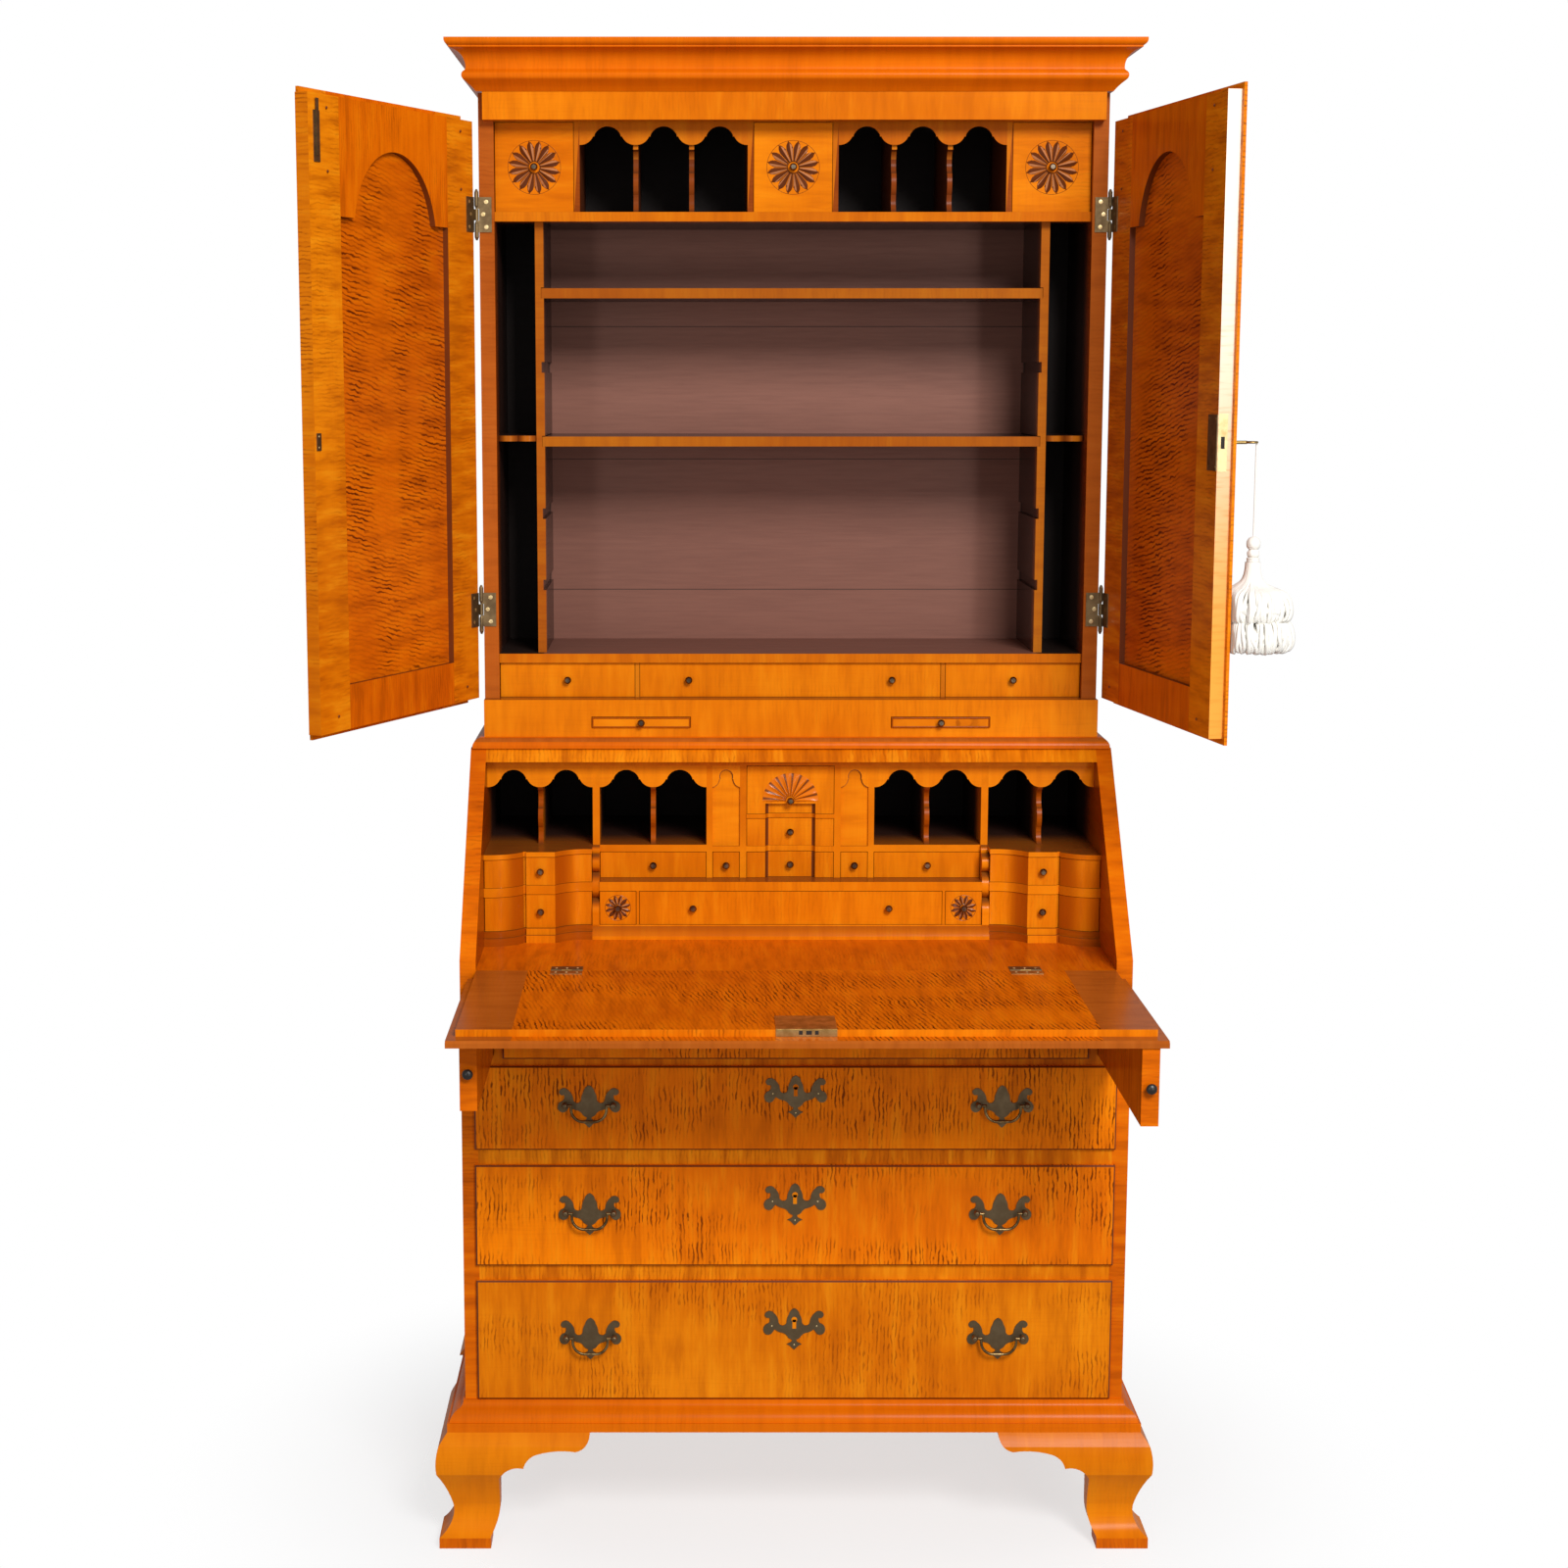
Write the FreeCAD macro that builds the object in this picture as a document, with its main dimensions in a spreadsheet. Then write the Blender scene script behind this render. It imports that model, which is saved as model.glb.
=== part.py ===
"""Bureau bookcase: a slant-front desk on ogee bracket feet with a two-door bookcase on top.

Frame: X to the right, Y to the back, Z up, origin on the floor under the middle of the desk.
The doors, the fall and the lopers stand open, as the object is shown.
"""
import FreeCAD, Part

import math
import os
import re

V = FreeCAD.Vector

SIZES = {
    # desk case
    "case_width": 914, "case_depth": 508, "side_thick": 22, "back_thick": 12, "foot_high": 165,
    "floor_rise": 46, "floor_thick": 18, "lower_open": 163, "middle_open": 135, "upper_open": 110,
    "rail_high": 30, "rail_deep": 60, "loper_rail": 18, "loper_high": 100, "loper_thick": 22,
    "loper_long": 430, "loper_cheek": 16, "bed_thick": 18, "gallery_high": 254, "top_thick": 18,
    "slant_angle": 48.1, "running_gap": 0.8, "seat_gap": 0.3,
    # base moulding and feet
    "base_high": 40, "base_proj": 24, "mould_back": 10, "foot_swell": 15.5, "foot_ankle": 6.7,
    "foot_pad": 11.8, "foot_thick": 24, "bracket_long": 198, "leg_wide": 72,
    # long drawers
    "drawer_lip": 4, "lip_thick": 7, "front_thick": 20, "drawer_wall": 11, "drawer_floor": 7,
    "drawer_deep": 430,
    # fall board
    "fall_thick": 18, "fall_rebate": 9, "fall_long": 326, "fall_lip": 24, "fall_side_lip": 11,
    "cleat_wide": 70, "left_loper_out": 278, "right_loper_out": 347,
    # writing gallery
    "gallery_front": 242, "lower_step": 34, "base_board": 20, "row_b_high": 49, "ledge_thick": 13,
    "row_a_high": 38, "shelf_thick": 10, "gallery_top": 9, "partition_at": 274, "partition_thick": 10,
    "letter_at": 112, "letter_post": 8.5, "prospect_half": 63, "prospect_post": 9.5, "fan_rail": 6,
    "middle_rail": 8, "middle_high": 41, "recess_half": 36, "recess_deep": 8, "block_in": 336,
    "block_out": 377, "block_step": 24, "wall_step": 48, "divider_thick": 7, "valance_high": 31,
    "valance_thick": 6, "fan_box": 53, "fan_post": 4, "box_front": 12, "box_wall": 6, "box_floor": 4,
    "box_deep": 190,
    # small knobs
    "knob_neck": 2.4, "knob_head": 5.2, "knob_long": 12,
    # bookcase
    "book_inset": 18.5, "book_depth": 245, "book_side": 21, "face_thick": 21, "waist_high": 15,
    "waist_proj": 16, "candle_high": 53, "candle_wide": 142, "candle_tall": 16, "candle_at": 143,
    "candle_rise": 13, "candle_long": 200, "tray_high": 50, "tray_post": 6, "tray_at": 217,
    "book_floor": 13, "shelf_bay": 608, "deck_thick": 13, "pigeon_high": 123, "frieze_high": 38,
    "frieze_inset": 7.4, "cornice_high": 68, "cornice_proj": 41, "inner_set": 16, "upright_at": 351,
    "upright_thick": 12, "upright_set": 30, "slot_deep": 4, "slot_high": 15, "shelf_board": 14,
    "lower_shelf": 295, "upper_shelf": 503, "side_shelf": 302, "rosette_box": 111, "pigeon_post": 8,
    # doors
    "pin_out": 3.6, "leaf_thick": 1.5, "leaf_gap": 0.4, "door_thick": 22, "door_lap": 4, "lap_wide": 8,
    "door_gap": 1, "stile_wide": 75, "bottom_rail": 58, "arch_rail": 58, "shoulder_rail": 148,
    "arch_half": 108, "panel_thick": 9, "panel_sink": 8, "field_proud": 4, "field_edge": 30,
    "left_door_angle": 113, "right_door_angle": 99.2, "leaf_high": 48, "leaf_wide": 21, "barrel_r": 3,
    "barrel_high": 70, "hinge_inset": 127.5,
    # brasses
    "plate_thick": 1.6, "bore_half": 33, "handle_at": 282, "post_long": 17, "post_r": 4, "bail_r": 2,
    "bail_drop": 22.5, "lock_wide": 32, "lock_tall": 70, "lock_rise": 375, "key_r": 2.2,
    "key_shank": 22, "bow_r": 7, "cord_r": 1.3, "cord_long": 116, "tassel_r": 35, "tassel_long": 150,
    "strike_wide": 10, "strike_tall": 22, "bolt_wide": 6, "bolt_long": 70, "bolt_plate": 14,
    "bolt_in": 26, "fall_leaf_at": 290, "fall_leaf_long": 43, "fall_leaf_wide": 22,
    "fall_lock_long": 76, "fall_lock_wide": 68, "fall_knuckle_r": 1.8, "long_knob_at": 140,
    "tray_knob_at": 146,
}

doc = FreeCAD.newDocument("BureauBookcase")
sheet = doc.addObject("Spreadsheet::Sheet", "Sizes")
for row, (alias, size) in enumerate(SIZES.items(), 1):
    sheet.set(f"A{row}", alias)
    sheet.set(f"B{row}", str(size))
    sheet.setAlias(f"B{row}", alias)
doc.recompute()

NODES = []


def formula(text):
    """Write plain size names as references to the sheet."""
    return re.sub(r"[A-Za-z_]\w*", lambda m: "Sizes." + m.group() if m.group() in SIZES else m.group(),
                  str(text))


def val(text):
    """Value of a formula over the sizes."""
    return float(sheet.evalExpression(formula(text)))


def bind(obj, **formulas):
    """Bind properties to formulas; a name such as Base_x means Placement.Base.x."""
    for prop, text in formulas.items():
        prop = "Placement.Base." + prop[-1] if prop.startswith("Base_") else prop
        obj.setExpression(prop, formula(text))
    return obj


def board(x, y, z, wide, deep, high):
    """A squared board from its lowest corner and its three sizes."""
    box = doc.addObject("Part::Box", "Board")
    return bind(box, Base_x=x, Base_y=y, Base_z=z, Length=wide, Width=deep, Height=high)


def mirrored(obj):
    """The same piece on the other side of the middle plane."""
    twin = doc.addObject("Part::Mirroring", "Twin")
    twin.Source = obj
    twin.Normal = V(1, 0, 0)
    return twin


def both(obj):
    """A piece and its twin."""
    return [obj, mirrored(obj)]


def combine(kind, *objs):
    """Part::Cut, Part::Fuse or Part::Common of pieces, in order."""
    base = objs[0]
    for tool in objs[1:]:
        join = doc.addObject("Part::" + kind, kind)
        join.Base = base
        join.Tool = tool
        base = join
    return base


PLANES = {
    "XY": (FreeCAD.Rotation(), V(0, 0, 1)),
    "XZ": (FreeCAD.Rotation(V(1, 0, 0), 90), V(0, 1, 0)),
    "YZ": (FreeCAD.Rotation(V(1, 1, 1), 120), V(1, 0, 0)),
}


def outline(plane, start, *steps):
    """Closed sketch: each step is a corner (u, v), or an arc as ((u, v) on the way, (u, v) end)."""
    sketch = doc.addObject("Sketcher::SketchObject", "Outline")
    sketch.Placement = FreeCAD.Placement(V(), PLANES[plane][0])
    edges = []
    last = V(*start)
    for step in list(steps) + [start]:
        end = V(*(step[1] if isinstance(step[0], tuple) else step))
        if isinstance(step[0], tuple):
            edges.append(Part.Arc(last, V(*step[0]), end))
        elif (end - last).Length > 1e-6:
            edges.append(Part.LineSegment(last, end))
        last = end
    sketch.addGeometry(edges, False)
    return sketch


def prism(plane, low, length, start, *steps):
    """An outline pushed out square to its plane, from low over length."""
    body = doc.addObject("Part::Extrusion", "Prism")
    body.Base = outline(plane, start, *steps)
    body.DirMode = "Custom"
    body.Dir = PLANES[plane][1]
    body.Solid = True
    axis = {"XY": "z", "XZ": "y", "YZ": "x"}[plane]
    return bind(body, LengthFwd=length, **{"Base_" + axis: low})


def turned(start, *steps):
    """A profile of (radius, height) turned about the Z axis."""
    body = doc.addObject("Part::Revolution", "Turning")
    body.Source = outline("XZ", start, *steps)
    body.Axis = V(0, 0, 1)
    body.Angle = 360
    body.Solid = True
    return body


def mirror_steps(points):
    """Right half of a symmetric outline, top to bottom, followed by its left half back up."""
    left = []
    for index in range(len(points) - 1, 0, -1):
        here, before = points[index], points[index - 1]
        target = before[1] if isinstance(before[0], tuple) else before
        flip = (-target[0], target[1])
        if isinstance(here[0], tuple):
            left.append(((-here[0][0], here[0][1]), flip))
        else:
            left.append(flip)
    return list(points) + left[:-1] if not isinstance(points[1][0], tuple) else list(points) + left


def node(label, parts, place=None):
    """A named sub-part of one or more solids."""
    group = doc.addObject("Part::Compound", label)
    group.Label = label
    group.Links = parts
    if place:
        x, y, angle = place
        group.Placement = FreeCAD.Placement(V(), FreeCAD.Rotation(V(0, 0, 1), 1))
        group.setExpression("Placement.Rotation.Angle", formula(angle))
        bind(group, Base_x=x, Base_y=y)
    NODES.append(group)
    return group


# Levels and planes worked out from the driving sizes
half = "(case_width/2)"
inner = f"({half}-side_thick)"
front = "(-case_depth/2)"
back = "(case_depth/2-back_thick)"
z_lower = "(foot_high+floor_rise)"
z_middle = f"({z_lower}+lower_open+rail_high)"
z_upper = f"({z_middle}+middle_open+rail_high)"
z_loper = f"({z_upper}+upper_open+loper_rail)"
z_bed = f"({z_loper}+loper_high)"
z_write = f"({z_bed}+bed_thick)"
z_gallery_top = f"({z_write}+gallery_high-gallery_top)"
z_top = f"({z_write}+gallery_high)"
z_desk = f"({z_top}+top_thick)"
z_candle = f"({z_desk}+waist_high)"
z_tray = f"({z_candle}+candle_high)"
z_floor = f"({z_tray}+tray_high)"
z_bay = f"({z_floor}+book_floor)"
z_deck = f"({z_bay}+shelf_bay)"
z_pigeon = f"({z_deck}+deck_thick)"
z_frieze = f"({z_pigeon}+pigeon_high)"
z_cornice = f"({z_frieze}+frieze_high)"
book_half = "(case_width/2-book_inset)"
book_inner = f"({book_half}-book_side)"
book_front = "(case_depth/2-book_depth)"
face_front = f"({book_front}-face_thick)"
inner_front = f"({book_front}+inner_set)"


def slant_at(offset, height):
    """Y of the slope's line, moved square outwards by offset, at a height."""
    angle = math.radians(val("slant_angle"))
    rise = val(height) - val(z_write) - offset * math.cos(angle)
    return val(front) - offset * math.sin(angle) + rise / math.tan(angle)


def desk_sides():
    """Desk sides with the slope that the closed fall lies on."""
    rebate = val("fall_rebate")
    angle = math.radians(val("slant_angle"))
    kink = val(z_write) + rebate / math.cos(angle)
    low, high = val("foot_high"), val(z_desk)
    side = prism("YZ", inner, "side_thick", (val(front), low), (val("case_depth/2"), low),
                 (val("case_depth/2"), high), (slant_at(rebate, z_desk), high), (val(front), kink))
    return node("desk_sides", both(side))


fall_axis = f"({front}-seat_gap)"
leaf_start = "(fall_knuckle_r+2*seat_gap)"


def fall_notch():
    """Room for the knuckles of the fall's right hinge."""
    room = "(fall_knuckle_r+seat_gap)"
    return board("fall_leaf_at-seat_gap", f"{fall_axis}-{room}", f"{z_write}-{room}",
                 "fall_leaf_long+2*seat_gap",
                 f"2*{room}", f"2*{room}")


def fall_knuckle(x, long, toward):
    """A knuckle on the fall's axis and the tongue to its leaf; toward is -1 for the fall's leaf."""
    tube = doc.addObject("Part::Cylinder", "Knuckle")
    tube.Placement = FreeCAD.Placement(V(), FreeCAD.Rotation(V(0, 1, 0), 90))
    bind(tube, Radius="fall_knuckle_r", Height=long, Base_x=x, Base_y=fall_axis, Base_z=z_write)
    reach = f"({leaf_start}+seat_gap)"
    low = fall_axis if toward > 0 else f"{fall_axis}-{reach}"
    return combine("Fuse", tube, board(x, low, z_write, long, reach, "leaf_thick/2"))


def desk_boards():
    """Bottom, rails, loper cheeks, writing bed and desk top between the sides."""
    full = f"2*{inner}"
    left = f"-{inner}"
    deep = f"{back}-{front}"
    parts = [board(left, front, f"{z_lower}-floor_thick", full, deep, "floor_thick")]
    for low, high in ((f"{z_lower}+lower_open", "rail_high"), (f"{z_middle}+middle_open", "rail_high"),
                      (f"{z_upper}+upper_open", "loper_rail")):
        parts.append(board(left, front, low, full, "rail_deep", high))
        runner = board(f"{inner}-rail_deep", f"{front}+rail_deep", low, "rail_deep", f"{deep}-rail_deep",
                       high)
        parts += both(runner)
    cheek = f"{inner}-loper_thick-2*running_gap-loper_cheek"
    parts += both(board(cheek, front, z_loper, "loper_cheek", deep, "loper_high"))
    parts.append(combine("Cut", board(left, front, z_bed, full, deep, "bed_thick"), *both(fall_notch())))
    rebate = val("fall_rebate")
    parts.append(prism("YZ", left, full, (slant_at(rebate, z_top), val(z_top)), (val(back), val(z_top)),
                       (val(back), val(z_desk)), (slant_at(rebate, z_desk), val(z_desk))))
    return node("desk_boards", parts)


def back_boards():
    """Back boards of the desk and of the bookcase."""
    desk = board(f"-{inner}", back, f"{z_lower}-floor_thick", f"2*{inner}", "back_thick",
                 f"{z_desk}-{z_lower}+floor_thick")
    book = board(f"-{book_inner}", back, z_desk, f"2*{book_inner}", "back_thick", f"{z_cornice}-{z_desk}")
    return node("back_boards", [desk, book])


def mitred(profile, wide, near, far):
    """A moulding across the front and back along both sides, mitred at the front corners.

    The profile is a list of outline steps in (projection, height).
    """
    def turn(step, place):
        if isinstance(step[0], tuple):
            return tuple(place(p) for p in step)
        return place(step)

    reach = max(p[0] for step in profile for p in (step if isinstance(step[0], tuple) else (step,)))
    root = -min(p[0] for step in profile for p in (step if isinstance(step[0], tuple) else (step,)))
    low = min(p[1] for step in profile for p in (step if isinstance(step[0], tuple) else (step,)))
    tall = max(p[1] for step in profile for p in (step if isinstance(step[0], tuple) else (step,))) - low
    across = [turn(step, lambda p: (near - p[0], p[1])) for step in profile]
    along = [turn(step, lambda p: (wide + p[0], p[1])) for step in profile]
    front_bar = prism("YZ", -wide - reach, 2 * (wide + reach), across[0], *across[1:])
    side_bar = prism("XZ", near - reach, far - near + reach, along[0], *along[1:])
    front_plan = prism("XY", low, tall, (-wide - reach, near - reach), (wide + reach, near - reach),
                       (wide - root, near + root), (root - wide, near + root))
    side_plan = prism("XY", low, tall, (wide + reach, near - reach), (wide + reach, far), (wide - root, far),
                      (wide - root, near + root))
    return [combine("Common", front_bar, front_plan)] + both(combine("Common", side_bar, side_plan))


def case_mouldings():
    """Base moulding over the feet and waist moulding under the bookcase."""
    low, proj, high, root = val("foot_high"), val("base_proj"), val("base_high"), 0
    bead = 0.32 * high
    cove = high - bead
    base = [(root, low), (proj, low), (proj, low + bead), (proj - 3, low + bead),
            ((proj - 7, low + bead + 0.35 * cove), (0.45 * proj, low + bead + 0.55 * cove)),
            ((0.18 * proj, low + bead + 0.72 * cove), (3, low + high)), (root, low + high)]
    low, proj, high = val(z_desk), val("waist_proj"), val("waist_high")
    waist = [(root, low), (proj, low), (proj, low + 0.3 * high),
             ((0.72 * proj, low + 0.78 * high), (0.25 * proj, low + high)), (root, low + high)]
    parts = mitred(base, val(half), val(front), val("case_depth/2"))
    return node("case_mouldings", parts + mitred(waist, val(book_half), val(face_front), val("case_depth/2")))


def cornice():
    """Crown moulding: ovolo over a cove, a bead and a lower curve."""
    low, proj, high = val(z_cornice), val("cornice_proj"), val("cornice_high")
    shares = [(0, 0), (0.03, 0), ((0.13, 0.07), (0.36, 0.19)), (0.4, 0.21), ((0.47, 0.31), (0.38, 0.39)),
              (0.34, 0.42), ((0.45, 0.67), (0.83, 0.81)), (0.86, 0.82), (0.86, 0.85),
              ((0.97, 0.9), (1, 0.97)), (1, 1), (0, 1)]

    def place(share):
        return proj * share[0], low + high * share[1]

    steps = [tuple(place(p) for p in s) if isinstance(s[0], tuple) else place(s) for s in shares]
    return node("cornice", mitred(steps, val(book_half), val(face_front), val("case_depth/2")))


def bracket_feet():
    """Ogee bracket feet: mitred pairs at the front, a shaped side with a plain brace at the back."""
    top, proj, thick = val("foot_high"), val("base_proj"), val("foot_thick")
    swell, ankle, pad = proj + val("foot_swell"), proj - val("foot_ankle"), proj + val("foot_pad")
    wide, near, far = val(half), val(front), val("case_depth/2")
    inside = proj - thick - 8
    high = [top * share for share in (0.09, 0.1, 0.35, 0.53, 0.73, 0.9)]
    ogee = [(inside, 0), (pad, 0), (pad, high[0]), ((ankle + 2.5, 0.2 * top), (ankle, high[2])),
            ((0.5 * (ankle + swell) - 1, high[3]), (swell - 1, 0.66 * top)),
            ((swell, high[4]), (swell - 4, high[5])), ((proj + 5, 0.96 * top), (proj, top)), (inside, top)]
    leg, span = val("leg_wide"), val("bracket_long")
    bay = span - leg
    bracket = [(-20, 0), (leg - 12, 0), (leg - 12, high[1]), ((leg - 4, 0.2 * top), (leg, 0.35 * top)),
               (leg, 0.61 * top), ((leg + 0.08 * bay, 0.69 * top), (leg + 0.27 * bay, 0.715 * top)),
               ((leg + 0.32 * bay, 0.79 * top), (leg + 0.41 * bay, 0.835 * top)),
               ((leg + 0.55 * bay, 0.858 * top), (span - 0.16 * bay, 0.858 * top)),
               ((span - 0.04 * bay, 0.91 * top), (span, top)), (-20, top)]
    outer = wide + proj
    lead = near - proj
    reach = swell + 1

    def place(steps, put):
        return [tuple(put(p) for p in s) if isinstance(s[0], tuple) else put(s) for s in steps]

    face = place(ogee, lambda p: (near - p[0], p[1]))
    across = prism("YZ", wide - span, span + reach, face[0], *face[1:])
    shape = place(bracket, lambda p: (outer - p[0], p[1]))
    front_shape = prism("XZ", near - reach, reach + thick, shape[0], *shape[1:])
    corner = prism("XY", 0, top, (wide + reach, near - reach), (wide - span, near - reach),
                   (wide - span, near - inside), (wide + inside, near - inside))
    front_leaf = combine("Common", across, front_shape, corner)
    cheek = place(ogee, lambda p: (wide + p[0], p[1]))
    along = prism("XZ", near - reach, far - near + reach, cheek[0], *cheek[1:])
    side = place(bracket, lambda p: (lead + p[0], p[1]))
    side_shape = prism("YZ", wide - thick, reach + thick, side[0], *side[1:])
    side_corner = prism("XY", 0, top, (wide + reach, near - reach), (wide + inside, near - inside),
                        (wide + inside, near + span), (wide + reach, near + span))
    side_leaf = combine("Common", along, side_shape, side_corner)
    rear = place(bracket, lambda p: (far - p[0], p[1]))
    rear_shape = prism("YZ", wide - thick, reach + thick, rear[0], *rear[1:])
    rear_plan = prism("XY", 0, top, (wide + reach, far - span), (wide + reach, far), (wide + inside, far),
                      (wide + inside, far - span))
    rear_leaf = combine("Common", along, rear_shape, rear_plan)
    brace = prism("XZ", far - thick, thick, (wide + inside, 0), (wide + inside, top),
                  (wide - span + proj, top),
                  (wide - leg, 0.6 * top), (wide - leg, 0))
    parts = []
    for piece in (front_leaf, side_leaf, rear_leaf, brace):
        parts += both(piece)
    return node("bracket_feet", parts)


def knob(x, y, z):
    """A small turned pull that stands out of a drawer's front at y."""
    neck, head, long = val("knob_neck"), val("knob_head"), val("knob_long")
    body = turned((0, 0), (neck, 0), (neck, 0.42 * long), (0.92 * head, 0.6 * long), (head, 0.75 * long),
                  (0.6 * head, long), (0, long))
    body.Placement = FreeCAD.Placement(V(), FreeCAD.Rotation(V(1, 0, 0), 90))
    return bind(body, Base_x=x, Base_y=y, Base_z=z)


def drawer_box(x, wide, y, deep, z, high, wall, floor, gap="running_gap"):
    """Two sides, a back and a bottom behind a drawer's front, which stands at y."""
    left, span = f"({x}+{gap})", f"({wide}-2*{gap})"
    low, tall = f"({z}+seat_gap)", f"(0.86*({high})-seat_gap)"
    return [
        board(left, y, low, wall, deep, tall),
        board(f"{left}+{span}-{wall}", y, low, wall, deep, tall),
        board(f"{left}+{wall}", f"{y}+{deep}-{wall}", low, f"{span}-2*{wall}", wall, tall),
        board(f"{left}+{wall}", y, low, f"{span}-2*{wall}", f"{deep}-{wall}", floor),
    ]


def long_drawer(label, half_wide, z, high, top_lip="drawer_lip"):
    """A lipped drawer of the desk; its front laps the case all round, or not along its top."""
    skin = f"{front}-seat_gap-lip_thick"
    lip = board(f"-{half_wide}-drawer_lip", skin, f"{z}-drawer_lip", f"2*({half_wide}+drawer_lip)",
                "lip_thick",
                f"{high}+drawer_lip+({top_lip})")
    rounded = doc.addObject("Part::Chamfer", "Thumbnail")
    rounded.Base = lip
    doc.recompute()
    low = lip.Shape.BoundBox.YMin
    edges = [n for n, e in enumerate(lip.Shape.Edges, 1) if abs(e.BoundBox.YMax - low) < 1e-6]
    rounded.Edges = [(n, 0.5 * val("drawer_lip"), 0.5 * val("drawer_lip")) for n in edges]
    body = board(f"-{half_wide}+running_gap", f"{front}-seat_gap", f"{z}+seat_gap",
                 f"2*({half_wide}-running_gap)",
                 "front_thick", f"{high}-seat_gap-running_gap")
    face = combine("Fuse", rounded, body)
    walls = drawer_box(f"-{half_wide}", f"2*{half_wide}", f"({front}-seat_gap+front_thick)",
                       "(drawer_deep-front_thick)", z, high, "drawer_wall", "drawer_floor")
    return node(label, [face] + walls)


PLATE = [(0, 32.6), ((4.6, 29.6), (7.2, 24)), ((9.6, 19), (10.6, 13.2)), ((14.8, 7.9), (21.6, 12.6)),
         ((23.4, 19.6), (28.4, 25.8)), ((36.5, 28.4), (40.7, 24.4)), ((39.4, 20.2), (34.2, 19.4)),
         ((33.6, 15.4), (36, 10.8)), ((42, 6), (42.4, 0)), ((37, -5.2), (30.4, -2.4)), (27, 2.6),
         ((21, -1.2), (16.6, -2.4)), ((11.8, -4.8), (8.6, -9)), ((6, -11), (3, -12.4)), ((3.6, -15),
                                                                                         (5.4, -16.6)),
         (10.4, -19.2), ((7.6, -20.2), (5.2, -22)), (0, -27)]


def plate(x, z, skin):
    """A bat-wing back plate, flat on a drawer's front."""
    steps = mirror_steps(PLATE)
    piece = prism("XZ", f"{skin}-plate_thick", "plate_thick", steps[0], *steps[1:])
    return bind(piece, Base_x=x, Base_z=z)


def drawer_brasses(label, z):
    """Two back plates with their posts, and the escutcheon, at the height of the posts."""
    skin = f"{front}-seat_gap-lip_thick"
    r, long = val("post_r"), val("post_long-plate_thick")
    parts = []
    for side in ("-handle_at", "handle_at"):
        parts.append(plate(side, z, skin))
        for way in ("-bore_half", "bore_half"):
            post = turned((0, 0), (0.7 * r, 0), (0.7 * r, 0.3 * long), (r, 0.5 * long), (r, long - 0.6 * r),
                          ((0.84 * r, long - 0.2 * r), (0.4 * r, long)), (0, long))
            post.Placement = FreeCAD.Placement(V(), FreeCAD.Rotation(V(1, 0, 0), 90))
            parts.append(bind(post, Base_x=f"{side}+{way}", Base_y=f"{skin}-plate_thick", Base_z=f"{z}+7"))
    parts.append(plate("0", f"{z}+14", skin))
    return node(label, parts)


def bails(label, z):
    """The two swinging handles of one drawer, hung between their posts."""
    skin = f"({front}-seat_gap-lip_thick)"
    out, drop = val("bore_half-post_r-seat_gap"), val("bail_drop")
    leg, knee = 0.84 * out, 0.24 * drop
    bend = drop - knee
    turn = 0.2929 * bend
    route = [((-out, 0), (-leg, 0)), ((-leg, 0), (-leg, -knee)),
             ((-leg, -knee), (turn - leg, turn - drop), (bend - leg, -drop)), ((bend - leg, -drop),
                                                                               (leg - bend, -drop)),
             ((leg - bend, -drop), (leg - turn, turn - drop), (leg, -knee)), ((leg, -knee),
                                                                              (leg, 0)), ((leg, 0),
                                                                                          (out, 0))]
    parts = []
    for x in ("-handle_at", "handle_at"):
        spine = doc.addObject("Sketcher::SketchObject", "Route")
        spine.Placement = FreeCAD.Placement(V(), PLANES["XZ"][0])
        spine.addGeometry([Part.LineSegment(*(V(*p) for p in ends)) if len(ends) == 2 else
                           Part.Arc(*(V(*p) for p in ends)) for ends in route], False)
        ring = doc.addObject("Part::Circle", "Ring")
        ring.Placement = FreeCAD.Placement(V(-out, 0, 0), FreeCAD.Rotation(V(0, 1, 0), 90))
        bind(ring, Radius="bail_r")
        handle = doc.addObject("Part::Sweep", "Bail")
        handle.Sections = [ring]
        handle.Spine = (spine, [f"Edge{n}" for n in range(1, len(route) + 1)])
        handle.Solid = True
        handle.Transition = "Right corner"
        parts.append(bind(handle, Base_x=x, Base_y=f"{skin}-post_long+1.1*post_r", Base_z=f"{z}+7"))
    return node(label, parts)


def small_drawer(label, x, wide, y, z, high, knobs, thick="box_front", deep="box_deep"):
    """A flush drawer with a plain front at y, and its knobs at (x, height)."""
    face = board(f"{x}+running_gap", y, f"{z}+seat_gap", f"{wide}-2*running_gap", thick,
                 f"{high}-seat_gap-running_gap")
    parts = [face] + drawer_box(x, wide, f"({y}+{thick})", f"({deep}-{thick})", z, high, "box_wall",
                                "box_floor")
    return node(label, parts + [knob(kx, y, kz) for kx, kz in knobs])


upper_front = "(case_depth/2-back_thick-gallery_front-12)"
lower_front = f"({upper_front}-lower_step)"
z_row_b = f"({z_write}+base_board)"
z_ledge = f"({z_row_b}+row_b_high)"
z_row_a = f"({z_ledge}+ledge_thick)"
z_shelf = f"({z_row_a}+row_a_high)"
z_hole = f"({z_shelf}+shelf_thick)"
z_middle_box = f"({z_shelf}+middle_rail)"
z_fan_box = f"({z_middle_box}+middle_high+fan_rail)"
partition_out = "(partition_at+partition_thick)"
letter_out = "(letter_at+letter_post)"
prospect_out = "(prospect_half+prospect_post)"


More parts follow.
